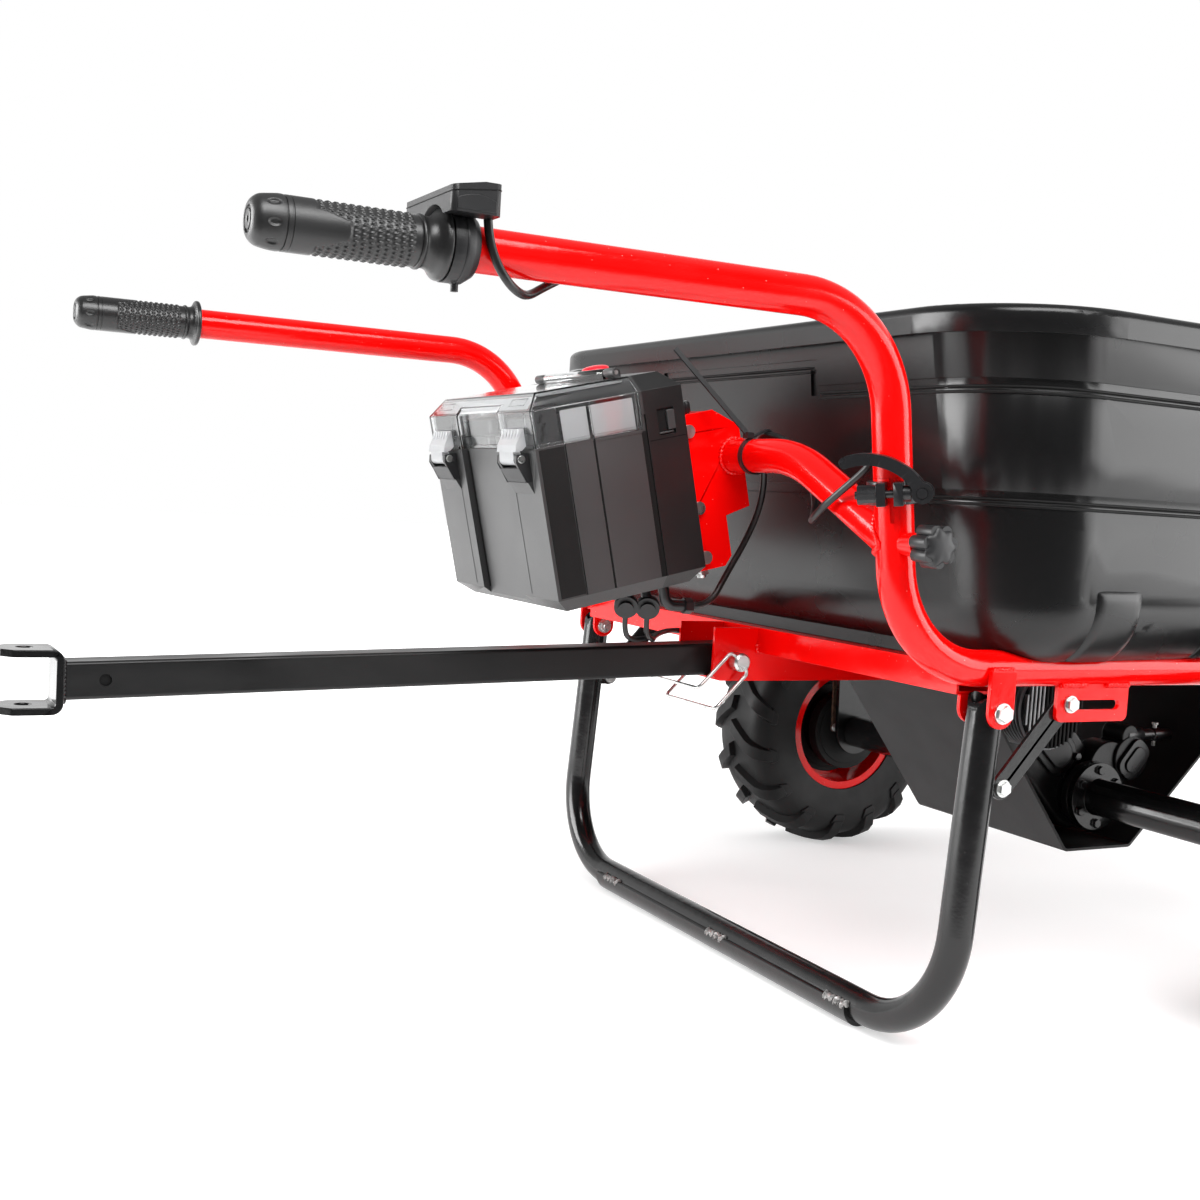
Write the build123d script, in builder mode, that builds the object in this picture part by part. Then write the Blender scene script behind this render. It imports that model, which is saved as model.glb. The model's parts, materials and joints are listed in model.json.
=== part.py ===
"""Electric wheelbarrow: tub on a tube frame, driven axle, battery box, folding stand and tow bar.

Millimetres. X forward, Y left, Z up, ground at Z = 0, origin under the middle of the whole barrow.
"""
import math
import os

from build123d import *

os.makedirs("parts", exist_ok=True)

# Overall layout: distances ahead are measured from where the uprights cross stem_datum_height,
# and heights on the frame from the middle of the side rails
rear_reach = 600.0
front_reach = 930.0
stem_x = (rear_reach - front_reach) / 2
stem_lean = 7.6
half_spacing = 334.0
base_height = 331.0
stem_datum_height = base_height + 173.0
handle_height = base_height + 274.0
split_height = base_height + 147.0
clamp_height = base_height + 136.0
knob_height = base_height + 97.0
axle_ahead = 515.0

# Round tube of the frame and handles
tube_d = 30.0
tube_wall = 2.0
bend_radius = 90.0
base_ahead = 763.0
tip_back = 495.0

# Fits between pieces
seat_gap = 0.2
slide_fit = 0.3
turn_fit = 0.3
running_fit = 0.05

# Cross beams
beam_width = 40.0
beam_height = 24.0
beam_wall = 2.5
beam_top = base_height + 0.5
rear_beam_ahead = 97.0
front_beam_ahead = 723.0

# Tub
tub_wall = 5.0
tub_high = 284.5
tub_top = beam_top + tub_high
tub_floor_rear = 100.0
tub_floor_front = 770.0
tub_floor_out_rear = 49.0
tub_floor_out_front = 18.0
tub_floor_half = (half_spacing + tub_floor_out_rear, half_spacing + tub_floor_out_front)
tub_top_rear = 66.0
tub_lip = 18.0
tub_top_out_rear = 53.0
tub_top_out_front = 18.0
tub_top_half = (half_spacing + tub_top_out_rear, half_spacing + tub_top_out_front)
tub_floor_corner = 70.0
tub_top_corner = 95.0
tub_edge_radius = 58.0
rail_room = 0.5
lip_depth = 22.0
lip_wall = 4.0
lip_round = 8.0
low_groove_rise = 132.5
high_groove_rise = 220.5
groove_heights = (beam_top + low_groove_rise, beam_top + high_groove_rise)
groove_height = 9.0
groove_depth = 2.5
groove_step = 23.0
groove_step_half = 134.0

# Wheels and axle
tyre_radius = 158.0
tyre_half = 52.0
track_half = half_spacing + 64.0
rim_radius = 76.0
rim_flange = 88.0
lug_depth = 11.0
lug_count = 15
lug_gap = 32.0
lug_slant = 24.0
axle_tube_d = 40.0
axle_tube_bore = 30.0
axle_tube_end = half_spacing + 4.0
flange_at = 80.0
flange_radius = 37.0
flange_thick = 8.0
shaft_d = 25.0
drum_radius = 46.0

# Motor and gearbox
motor_behind = 95.0
motor_height = beam_top - 73.5
motor_radius = 43.0
motor_end = 105.0
gearbox_half = 58.0
gearbox_radius = 42.0

# Belly guard
guard_half = 115.0
guard_sheet = 3.0
guard_low = 108.0
guard_rear = (-202.0, -70.0)
guard_front = (24.0, front_beam_ahead - axle_ahead + 18.0)
guard_flange = 24.0

# Stand, struts and slotted brackets
pivot_ahead = 114.5
pivot_height = base_height - 34.0
foot_ahead = 96.5
foot_height = 18.5
leg_d = 29.0
leg_wall = 2.0
stand_radius = 95.0
leg_end_radius = 13.5
pivot_bolt_d = 8.0
bracket_sheet = 4.0
bracket_radius = 13.0
ear_ahead = 135.5
ear_height = pivot_height - 64.0
ear_radius = 8.5
slot_ahead = 198.0
slot_height = pivot_height + 5.0
slot_travel = 52.0
slot_droop = 1.8
strut_ear_radius = 9.8
strut_slot_radius = 10.5
strut_sheet = 4.0
strut_bolt_d = 6.0
skid_half = half_spacing - stand_radius - 9.0
skid_sheet = 4.0
skid_arc = (175.0, 110.0)

# Tow bar and hitch
bar_size = 31.0
bar_wall = 2.5
bar_rear = -552.0
bar_front = 92.0
bar_slope = 1.8
pin_ahead = 72.0
pin_height = beam_top - 33.1
pin_d = 12.0
hitch_rear = 47.0
hitch_front = 330.0
hitch_half = 33.0
hitch_sheet = 3.0
hitch_top = beam_top - 0.5
hitch_low = beam_top - 49.5
clevis_gap = 40.0
clevis_thick = 6.0
clevis_width = 46.0
clevis_hole_d = 13.0
clevis_hole_back = 580.0
bail_wire = 3.5
bail_drop = 50.0
bail_spread = 14.5

# Battery box and its arm
arm_height = knob_height + 66.0
box_ahead = -92.7
box_aside = -8.0
box_low = arm_height - 129.0
box_tilt = 13.5
box_depth = 148.0
box_width = 224.0
box_split = 142.0
box_top = 188.0
box_wall = 3.0
cap_depth = 43.0
lid_wall = 2.5
lid_chamfer = 14.0
foot_chamfer = 12.0
recess_half = 45.0
recess_depth = 6.0
hinge_radius = 4.0
latch_y = 79.0
latch_width = 38.0
latch_proud = 7.5
latch_rise = 18.0
latch_pin_d = 5.0
pack_side_room = 11.0
pack_gap = 8.0
pack_size = (80.0, box_width / 2 - box_wall - pack_side_room - pack_gap / 2, 160.0)
bracket_plate = 3.0
arm_corner_y = -198.0
arm_radius = 150.0
arm_end_y = -103.0

# Grips and throttle
grip_d = 34.0
grip_front = 378.0
grip_cap = 6.0
sleeve_front = 394.0
collar_front = 374.0
collar_d = 46.0
housing_front = 355.0
housing_d = 47.0
cable_d = 6.0
lead_d = 5.0


def save(builder, name):
    """Labels a finished piece and writes it to its own file."""
    builder.part.label = name
    export_step(builder.part, f"parts/{name}.step")


def save_mirrored(builder, name):
    """Writes the left-hand twin of a right-hand piece."""
    with BuildPart() as twin:
        mirror(builder.part, about=Plane.XZ)
    save(twin, name)


def stem_at(height):
    """X of the leaning upright's axis at a height."""
    return stem_x + (stem_datum_height - height) * math.tan(math.radians(stem_lean))


def stem_point(height):
    """Point on the right upright's axis."""
    return Vector(stem_at(height), -half_spacing, height)


def turned(points, centre, direction):
    """Solid of revolution from (distance along the axis, radius) points."""
    side = (0, -1, 0) if abs(direction[0]) > 0.5 else (1, 0, 0)
    with BuildPart() as piece:
        with BuildSketch(Plane(centre, x_dir=direction, z_dir=side)):
            with BuildLine():
                Polyline(*points, close=True)
            make_face()
        revolve(axis=Axis(centre, direction))
    return piece.part


def rod(start, end, diameter):
    """Plain round bar between two points."""
    start, end = Vector(start), Vector(end)
    with BuildPart() as piece:
        with BuildSketch(Plane(start, z_dir=end - start)):
            Circle(diameter / 2)
        extrude(amount=(end - start).length)
    return piece.part


def hexagon_rod(start, end, across):
    """Hexagon bar between two points, for bolt heads and nuts."""
    start, end = Vector(start), Vector(end)
    with BuildPart() as piece:
        with BuildSketch(Plane(start, z_dir=end - start)):
            RegularPolygon(across / 2, 6, major_radius=False)
        extrude(amount=(end - start).length)
    return piece.part


def flanged_head(seat, tip, across, flange_d):
    """Hexagon bolt head or nut with a thin round flange on its seat."""
    seat, tip = Vector(seat), Vector(tip)
    with BuildPart() as piece:
        add(hexagon_rod(seat, tip, across))
        add(rod(seat, seat + (tip - seat) * 0.35, flange_d))
    return piece.part


def swept(points, radii, outer, bore=0.0):
    """Round tube or wire along straight runs joined by tangent arcs."""
    with BuildPart() as piece:
        with BuildLine() as path:
            FilletPolyline(*points, radius=radii)
        with BuildSketch(Plane(path.line @ 0, z_dir=path.line % 0)):
            Circle(outer / 2)
            if bore:
                Circle(bore / 2, mode=Mode.SUBTRACT)
        sweep(path=path.line)
    return piece.part


def route_radii(points):
    """Corner radii of a cable route, each as large as its two runs allow."""
    radii = []
    for before, corner, after in zip(points, points[1:], points[2:]):
        first = Vector(corner) - Vector(before)
        second = Vector(after) - Vector(corner)
        half_turn = math.radians(first.get_angle(second)) / 2
        radii.append(0.45 * min(first.length, second.length) / math.tan(half_turn))
    return radii


stem_up = Vector(-math.sin(math.radians(stem_lean)), 0, math.cos(math.radians(stem_lean)))
axle_x = stem_x + axle_ahead
axle_point = Vector(axle_x, 0, tyre_radius)
pivot_x = stem_x + pivot_ahead
foot_x = stem_x + foot_ahead
tip_x = stem_x - tip_back
tube_r = tube_d / 2
tube_bore = tube_d - 2 * tube_wall

# Right base tube: upright, bend and side rail, with the boss that takes the star knob
boss_radius = 9.0
boss_reach = 28.0
stud_d = 8.0
slit_width = 3.0
slit_length = 34.0
base_front = stem_x + base_ahead
clamp_frame = Plane(stem_point(clamp_height), x_dir=(-1, -1, 0), z_dir=stem_up)
knob_frame = Plane(stem_point(knob_height), z_dir=(0, -1, 0))
base_corner = (stem_at(base_height), -half_spacing, base_height)
base_end = (base_front, -half_spacing, base_height)
rail_route = (stem_point(split_height), base_corner, base_end)
longer_route = (stem_point(split_height), base_corner, (base_front + tube_r, -half_spacing, base_height))


def rail_pair(diameter, route):
    """Solid bars along both base tubes, to cut other pieces to their round."""
    with BuildPart() as pair:
        add(swept(route, bend_radius, diameter))
        mirror(about=Plane.XZ)
    return pair.part


with BuildPart() as rail_cores:
    add(rail_pair(tube_d, rail_route))
with BuildPart() as base_tube_right:
    add(swept(rail_route, bend_radius, tube_d, tube_bore))
    with BuildSketch(knob_frame.offset(tube_r - tube_wall)):
        Circle(boss_radius)
    extrude(amount=boss_reach - tube_r + tube_wall)
    with BuildSketch(knob_frame):
        Circle(stud_d / 2 + running_fit)
    extrude(amount=boss_reach + 1, mode=Mode.SUBTRACT)
    slit_top = (split_height - clamp_height) / math.cos(math.radians(stem_lean))
    with Locations(clamp_frame.location * Location((0, 0, slit_top))):
        Box(tube_d, slit_width, 2 * slit_length, align=(Align.MIN, Align.CENTER, Align.CENTER),
            mode=Mode.SUBTRACT)
save(base_tube_right, "base_tube_right")
save_mirrored(base_tube_right, "base_tube_left")

# Cross beams of rectangular tube, coped to the side rails, each with two tabs for the tub's bolts
tab_end = 17.0
tab_half = 22.0
tab_sheet = 4.0
bolt_head_d = 20.0
tub_bolt_y = 215.0
tub_bolt_d = 8.0
tub_bolt_hole = tub_bolt_d + 0.4
bolt_margin = tub_edge_radius + bolt_head_d / 2 + 1
rear_bolt_x = stem_x + tub_floor_rear + bolt_margin
front_bolt_x = stem_x + tub_floor_front - bolt_margin
rear_beam_face = stem_x + rear_beam_ahead + beam_width
front_beam_face = stem_x + front_beam_ahead


def beam_blank(start, tab_face, bolt_x):
    """Rectangular tube with its ends cut to the rails' round, and tabs from one face out to the bolts."""
    tab_tip = bolt_x + math.copysign(tab_end, bolt_x - tab_face)
    with BuildPart() as blank:
        with BuildSketch(Plane.XZ):
            with Locations((start + beam_width / 2, beam_top - beam_height / 2)):
                Rectangle(beam_width, beam_height)
                Rectangle(beam_width - 2 * beam_wall, beam_height - 2 * beam_wall, mode=Mode.SUBTRACT)
        extrude(amount=half_spacing - tube_r / 2, both=True)
        add(rail_cores.part, mode=Mode.SUBTRACT)
        for side in (-1, 1):
            with Locations((start + beam_width / 2, side * half_spacing, base_height - tube_r)):
                Box(2 * beam_width, tube_d + 1, beam_height, mode=Mode.SUBTRACT,
                    align=(Align.CENTER, Align.CENTER, Align.MAX))
        with BuildSketch(Plane.XY.offset(beam_top)):
            for side in (-1, 1):
                with Locations(((tab_face + tab_tip) / 2, side * tub_bolt_y)):
                    Rectangle(abs(tab_tip - tab_face), 2 * tab_half)
                with Locations((bolt_x, side * tub_bolt_y)):
                    Circle(tub_bolt_hole / 2, mode=Mode.SUBTRACT)
        extrude(amount=-tab_sheet)
    return blank.part


with BuildPart() as rear_beam:
    add(beam_blank(stem_x + rear_beam_ahead, rear_beam_face, rear_bolt_x))
save(rear_beam, "rear_beam")

with BuildPart() as front_beam:
    add(beam_blank(front_beam_face, front_beam_face, front_bolt_x))
save(front_beam, "front_beam")

# Tub: tapered shell with a well-rounded foot that sits down over the side rails in two channels,
# two moulded grooves and a turned-over lip
tub_top_front = front_reach - tub_lip
tub_rise = tub_top - beam_top


def tub_section(height, grow):
    """Outline of the tub's outer wall at a height, made larger by grow."""
    share = (height - beam_top) / tub_rise
    rear = stem_x + tub_floor_rear + share * (tub_top_rear - tub_floor_rear) - grow
    front = stem_x + tub_floor_front + share * (tub_top_front - tub_floor_front) + grow
    rear_half = tub_floor_half[0] + share * (tub_top_half[0] - tub_floor_half[0]) + grow
    front_half = tub_floor_half[1] + share * (tub_top_half[1] - tub_floor_half[1]) + grow
    corner = tub_floor_corner + share * (tub_top_corner - tub_floor_corner) + grow
    with BuildSketch(Plane.XY.offset(height)) as outline:
        with BuildLine():
            Polyline((rear, -rear_half), (front, -front_half), (front, front_half), (rear, rear_half),
                     close=True)
        make_face()
        fillet(outline.vertices(), corner)
    return outline.sketch


def tub_block(low, high, grow, edge):
    """Closed tapered block with a rounded lower edge."""
    with BuildPart() as block:
        add(tub_section(low, grow))
        add(tub_section(high, grow))
        loft(ruled=True)
        fillet(block.faces().sort_by(Axis.Z)[0].edges(), edge)
    return block.part


tub_mid = (stem_x + tub_top_rear + stem_x + tub_top_front) / 2
tub_span = 2 * front_reach
low_groove, high_groove = groove_heights
with BuildPart() as groove_cutter:
    with Locations((tub_mid, 0, low_groove + groove_height / 2), (tub_mid, 0, high_groove + groove_height / 2)):
        Box(tub_span, tub_span, groove_height)
    with Locations((stem_x, 0, high_groove)):
        Box(2 * tub_floor_rear, 2 * groove_step_half, groove_height, mode=Mode.SUBTRACT,
            align=(Align.CENTER, Align.CENTER, Align.MIN))
        Box(2 * tub_floor_rear, 2 * groove_step_half, groove_step + groove_height,
            align=(Align.CENTER, Align.CENTER, Align.MIN))
        Box(2 * tub_floor_rear, 2 * (groove_step_half - groove_height), groove_step, mode=Mode.SUBTRACT,
            align=(Align.CENTER, Align.CENTER, Align.MIN))
    add(tub_block(beam_top, tub_top, -groove_depth, tub_edge_radius), mode=Mode.SUBTRACT)

with BuildPart() as lip:
    add(tub_section(tub_top, tub_lip))
    extrude(amount=-lip_depth)
    fillet(lip.faces().sort_by(Axis.Z)[-1].edges(), lip_round)
with BuildPart() as lip_hollow:
    add(tub_section(tub_top - lip_wall, tub_lip - lip_wall))
    extrude(amount=-lip_depth)
with BuildPart() as tub_room:
    add(tub_block(beam_top + tub_wall, tub_top + tub_wall, -tub_wall, tub_edge_radius - tub_wall))
    add(rail_pair(tube_d + 2 * rail_room + 2 * tub_wall, longer_route), mode=Mode.SUBTRACT)
with BuildPart() as tub:
    add(lip)
    add(lip_hollow, mode=Mode.SUBTRACT)
    add(tub_block(beam_top, tub_top - lip_round / 2, 0, tub_edge_radius))
    add(groove_cutter, mode=Mode.SUBTRACT)
    add(tub_room, mode=Mode.SUBTRACT)
    add(rail_pair(tube_d + 2 * rail_room, longer_route), mode=Mode.SUBTRACT)
    with BuildSketch(Plane.XY.offset(beam_top)):
        with Locations((rear_bolt_x, -tub_bolt_y), (rear_bolt_x, tub_bolt_y),
                       (front_bolt_x, -tub_bolt_y), (front_bolt_x, tub_bolt_y)):
            Circle(tub_bolt_hole / 2)
    extrude(amount=2 * tub_wall, mode=Mode.SUBTRACT)
save(tub, "tub")

# Tub bolts: round heads inside the tub, nuts under the tabs
bolt_head = 4.0
nut_across = 13.0
nut_height = 6.5
with BuildPart() as tub_bolts:
    under = beam_top - tab_sheet
    for bolt_x in (rear_bolt_x, front_bolt_x):
        head_seat = (bolt_x, -tub_bolt_y, beam_top + tub_wall)
        nut_seat = (bolt_x, -tub_bolt_y, under)
        with BuildSketch(Plane(head_seat)):
            Circle(bolt_head_d / 2)
        extrude(amount=bolt_head, taper=30)
        add(rod(head_seat, (bolt_x, -tub_bolt_y, under - nut_height - 2), tub_bolt_d))
        add(hexagon_rod(nut_seat, (bolt_x, -tub_bolt_y, under - nut_height), nut_across))
    mirror(about=Plane.XZ)
save(tub_bolts, "tub_bolts")

# Axle hangers: plates welded under the side rails, with the axle tube through them
hanger_sheet = 6.0
hanger_half = 36.0
hanger_radius = 30.0
with BuildPart() as axle_hangers:
    with BuildSketch(Plane.XZ.offset(half_spacing)):
        with Locations((axle_x, tyre_radius)):
            Circle(hanger_radius)
        with Locations((axle_x, base_height - tube_r / 2)):
            Rectangle(2 * hanger_half, tube_r)
        make_hull()
        with Locations((axle_x, tyre_radius)):
            Circle(axle_tube_d / 2, mode=Mode.SUBTRACT)
    extrude(amount=hanger_sheet / 2, both=True)
    with BuildSketch(Plane((axle_x - hanger_half, -half_spacing, base_height), z_dir=(1, 0, 0))):
        Circle(tube_r)
    extrude(amount=2 * hanger_half, mode=Mode.SUBTRACT)
    mirror(about=Plane.XZ)
save(axle_hangers, "axle_hangers")

# Belly guard: one bent sheet, upright at its rear edge and notched for the hitch channel there, that runs
# down under the gearbox and up to the front beam
guard_rear_top = hitch_low - hitch_sheet - guard_sheet
guard_front_top = beam_top - beam_height - guard_sheet
guard_bend = 8.0
guard_rise = 31.0
with BuildPart() as belly_guard:
    with BuildSketch(Plane.XZ):
        with BuildLine():
            FilletPolyline((axle_x + guard_rear[0], guard_rear_top + guard_rise),
                           (axle_x + guard_rear[0], guard_rear_top),
                           (axle_x + guard_rear[1], guard_low),
                           (axle_x + guard_front[0], guard_low),
                           (axle_x + guard_front[1], guard_front_top),
                           (axle_x + guard_front[1] + guard_flange, guard_front_top),
                           radius=guard_bend)
            offset(amount=guard_sheet, side=Side.LEFT)
        make_face()
    extrude(amount=guard_half, both=True)
    with Locations((axle_x + guard_rear[0], 0, hitch_low - hitch_sheet)):
        Box(4 * guard_bend, 2 * hitch_half + 2, 2 * guard_rise, mode=Mode.SUBTRACT,
            align=(Align.CENTER, Align.CENTER, Align.MIN))
save(belly_guard, "belly_guard")

# Stand brackets: an inner and an outer plate on each side rail, with the pivot bolt through both
outer_plate = half_spacing + tube_r
inner_plate = half_spacing - tube_r
pivot_hole = pivot_bolt_d + 0.4
with BuildPart() as stand_brackets:
    beam_low = beam_top - beam_height
    for near_face, plate_top in ((outer_plate, base_height), (inner_plate - bracket_sheet, beam_low)):
        with BuildSketch(Plane.XZ.offset(near_face)):
            with Locations((pivot_x, pivot_height)):
                Circle(bracket_radius)
            with Locations((pivot_x, (pivot_height + plate_top) / 2)):
                Rectangle(2 * bracket_radius, plate_top - pivot_height)
            with Locations((pivot_x, plate_top + bracket_radius)):
                Rectangle(4 * bracket_radius, 2 * bracket_radius, mode=Mode.SUBTRACT)
            with Locations((pivot_x, pivot_height)):
                Circle(pivot_hole / 2, mode=Mode.SUBTRACT)
        extrude(amount=bracket_sheet)
    mirror(about=Plane.XZ)
save(stand_brackets, "stand_brackets")

pivot_head = 6.5
pivot_across = 12.0
pivot_flange = 17.0
with BuildPart() as stand_bolts:
    outer_face = -(outer_plate + bracket_sheet)
    inner_face = -(inner_plate - bracket_sheet)
    add(rod((pivot_x, outer_face, pivot_height), (pivot_x, inner_face + pivot_head + 2, pivot_height),
            pivot_bolt_d))
    add(flanged_head((pivot_x, outer_face, pivot_height), (pivot_x, outer_face - pivot_head, pivot_height),
                     pivot_across, pivot_flange))
    add(flanged_head((pivot_x, inner_face, pivot_height), (pivot_x, inner_face + pivot_head, pivot_height),
                     pivot_across, pivot_flange))
    mirror(about=Plane.XZ)
save(stand_bolts, "stand_bolts")

# Stand: one bent tube with rounded leg tops, a curved skid strip under the rear of the cross run
# and an ear for each strut
leg_r = leg_d / 2
leg_lean = (pivot_x - foot_x) / (pivot_height - foot_height)
leg_top = pivot_height + leg_end_radius
leg_top_x = foot_x + leg_lean * (leg_top - foot_height)
ear_x = stem_x + ear_ahead
ear_inner = half_spacing - strut_sheet
ear_root = foot_x + leg_lean * (ear_height - foot_height) + leg_r - leg_wall / 2
stand_points = ((leg_top_x, -half_spacing, leg_top), (foot_x, -half_spacing, foot_height),
                (foot_x, half_spacing, foot_height), (leg_top_x, half_spacing, leg_top))
with BuildPart() as leg_trim:
    with BuildSketch(Plane.XZ):
        with Locations((pivot_x, pivot_height + leg_d)):
            Rectangle(2 * leg_d, 2 * leg_d)
        with Locations((pivot_x, pivot_height)):
            Circle(leg_end_radius, mode=Mode.SUBTRACT)
    extrude(amount=half_spacing + leg_d, both=True)
with BuildPart() as stand:
    add(swept(stand_points, stand_radius, leg_d, leg_d - 2 * leg_wall))
    add(leg_trim, mode=Mode.SUBTRACT)
    with BuildSketch(Plane.XZ):
        with BuildLine(mode=Mode.PRIVATE):
            skid_line = CenterArc((foot_x, foot_height), leg_r + skid_sheet / 2 - 0.25, *skid_arc)
        SlotArc(skid_line, skid_sheet + 0.5)
    extrude(amount=skid_half, both=True)
    with BuildSketch(Plane.XZ):
        with Locations((foot_x, foot_height)):
            Circle(leg_r - leg_wall)
    extrude(amount=skid_half, both=True, mode=Mode.SUBTRACT)
    for side in (-1, 1):
        start = side * half_spacing if side < 0 else half_spacing - strut_sheet
        with BuildSketch(Plane((0, start, 0), x_dir=(1, 0, 0), z_dir=(0, -1, 0))):
            with Locations((ear_x, ear_height)):
                Circle(ear_radius)
            with Locations(((ear_root + ear_x) / 2, ear_height)):
                Rectangle(ear_x - ear_root, 2 * ear_radius)
            with Locations((ear_x, ear_height)):
                Circle(strut_bolt_d / 2 + turn_fit, mode=Mode.SUBTRACT)
        extrude(amount=-strut_sheet)
    with BuildSketch(Plane.XZ):
        with Locations((pivot_x, pivot_height)):
            Circle(pivot_bolt_d / 2 + turn_fit)
    extrude(amount=half_spacing + leg_d, both=True, mode=Mode.SUBTRACT)
save(stand, "stand")

# Struts: flat bars from the stand's ears to bolts that slide in the slotted brackets
slot_x = stem_x + slot_ahead
strut_outer = half_spacing + strut_sheet + turn_fit
plate_inner = strut_outer + turn_fit
plate_outer = plate_inner + bracket_sheet
with BuildPart() as struts:
    with BuildSketch(Plane.XZ.offset(half_spacing + turn_fit)):
        with Locations((ear_x, ear_height)):
            Circle(strut_ear_radius)
        with Locations((slot_x, slot_height)):
            Circle(strut_slot_radius)
        make_hull()
        with Locations((ear_x, ear_height), (slot_x, slot_height)):
            Circle(strut_bolt_d / 2, mode=Mode.SUBTRACT)
    extrude(amount=strut_sheet)
    mirror(about=Plane.XZ)
save(struts, "struts")

strut_head = 5.0
strut_across = 10.0
strut_flange = 14.5
with BuildPart() as strut_bolts:
    add(rod((ear_x, -strut_outer, ear_height), (ear_x, -ear_inner + turn_fit, ear_height), strut_bolt_d))
    add(flanged_head((ear_x, -strut_outer, ear_height), (ear_x, -strut_outer - strut_head, ear_height),
                     strut_across, strut_flange))
    add(flanged_head((ear_x, -ear_inner + turn_fit, ear_height),
                     (ear_x, -ear_inner + turn_fit + strut_head, ear_height), strut_across, strut_flange))
    add(rod((slot_x, -plate_outer - turn_fit, slot_height), (slot_x, -half_spacing - turn_fit, slot_height),
            strut_bolt_d))
    add(flanged_head((slot_x, -plate_outer - turn_fit, slot_height),
                     (slot_x, -plate_outer - turn_fit - strut_head, slot_height), strut_across, strut_flange))
    mirror(about=Plane.XZ)
save(strut_bolts, "strut_bolts")

# Slotted brackets welded under the side rails
slot_margin = 14.0
plate_corner = 6.0
slot_middle = (slot_x + slot_travel / 2, slot_height - slot_droop / 2)
plate_low = slot_middle[1] - slot_margin
with BuildPart() as slot_brackets:
    with BuildSketch(Plane.XZ.offset(plate_inner)) as plate:
        with Locations((slot_middle[0], (base_height + plate_low) / 2)):
            Rectangle(slot_travel + 2 * slot_margin, base_height - plate_low)
        fillet(plate.vertices().sort_by(Axis.Y)[:2], plate_corner)
        with Locations(slot_middle):
            SlotCenterToCenter(slot_travel, strut_bolt_d + slot_droop + 2 * turn_fit, mode=Mode.SUBTRACT)
    extrude(amount=bracket_sheet)
    with BuildSketch(Plane((slot_x - 2 * slot_margin, -half_spacing, base_height), z_dir=(1, 0, 0))):
        Circle(tube_r)
    extrude(amount=slot_travel + 4 * slot_margin, mode=Mode.SUBTRACT)
    keep = slot_brackets.solids().sort_by(Axis.Z)[0]
with BuildPart() as slot_pair:
    add(keep)
    mirror(about=Plane.XZ)
save(slot_pair, "slot_brackets")

# Handles: bent tube with a spigot that slides in the upright
spigot_d = tube_bore - 2 * slide_fit
spigot_length = 70.0
plug_length = 12.0
handle_corner = (stem_at(handle_height), -half_spacing, handle_height)
handle_seat = stem_point(split_height) + stem_up * seat_gap
with BuildPart() as handle_right:
    add(swept(((tip_x, -half_spacing, handle_height), handle_corner, handle_seat), bend_radius, tube_d,
              tube_bore))
    with BuildSketch(Plane(handle_seat, z_dir=stem_up)):
        Circle(tube_r - tube_wall / 2)
        Circle(spigot_d / 2 - tube_wall, mode=Mode.SUBTRACT)
    extrude(amount=plug_length)
    with BuildSketch(Plane(handle_seat, z_dir=stem_up)):
        Circle(spigot_d / 2)
        Circle(spigot_d / 2 - tube_wall, mode=Mode.SUBTRACT)
    extrude(amount=-spigot_length)
save(handle_right, "handle_right")
save_mirrored(handle_right, "handle_left")

# Left grip: closed rubber sleeve with a flange
grip_r = grip_d / 2
grip_lip = 19.5
grip_lip_width = 7.0
grip_hole_d = 7.0
grip_start = tip_x - grip_cap
grip_end = stem_x - grip_front
with BuildPart() as grip_left:
    add(turned(((grip_start, grip_hole_d / 2), (grip_start, grip_r - 3), (grip_start + 3, grip_r),
                (grip_end - grip_lip_width - 4, grip_r), (grip_end - grip_lip_width, grip_lip),
                (grip_end, grip_lip), (grip_end, tube_r), (tip_x, tube_r), (tip_x, grip_hole_d / 2)),
               (0, half_spacing, handle_height), (1, 0, 0)))
save(grip_left, "grip_left")

# Throttle: a sleeve that twists on the right handle, with a flared collar, and a fixed housing
sleeve_bore = tube_r + turn_fit
sleeve_end = stem_x - sleeve_front
collar_end = stem_x - collar_front - turn_fit
housing_start = stem_x - collar_front
housing_end = stem_x - housing_front
with BuildPart() as throttle_sleeve:
    add(turned(((grip_start, grip_hole_d / 2), (grip_start, grip_r - 3), (grip_start + 3, grip_r),
                (sleeve_end, grip_r), (sleeve_end + 4, collar_d / 2 - 3), (collar_end - 6, collar_d / 2),
                (collar_end, collar_d / 2), (collar_end, sleeve_bore), (tip_x - turn_fit, sleeve_bore),
                (tip_x - turn_fit, grip_hole_d / 2)),
               (0, -half_spacing, handle_height), (1, 0, 0)))
save(throttle_sleeve, "throttle_sleeve")

screw_tip_d = 5.0
screw_tip = 5.0
housing_middle = (housing_start + housing_end) / 2
housing_low = handle_height - housing_d / 2
with BuildPart() as throttle_housing:
    add(turned(((housing_start, tube_r), (housing_start, housing_d / 2), (housing_end - 6, housing_d / 2),
                (housing_end, housing_d / 2 - 4), (housing_end, tube_r)),
               (0, -half_spacing, handle_height), (1, 0, 0)))
    add(rod((housing_middle, -half_spacing, housing_low + 2),
            (housing_middle, -half_spacing, housing_low - screw_tip), screw_tip_d))
save(throttle_housing, "throttle_housing")

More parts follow.
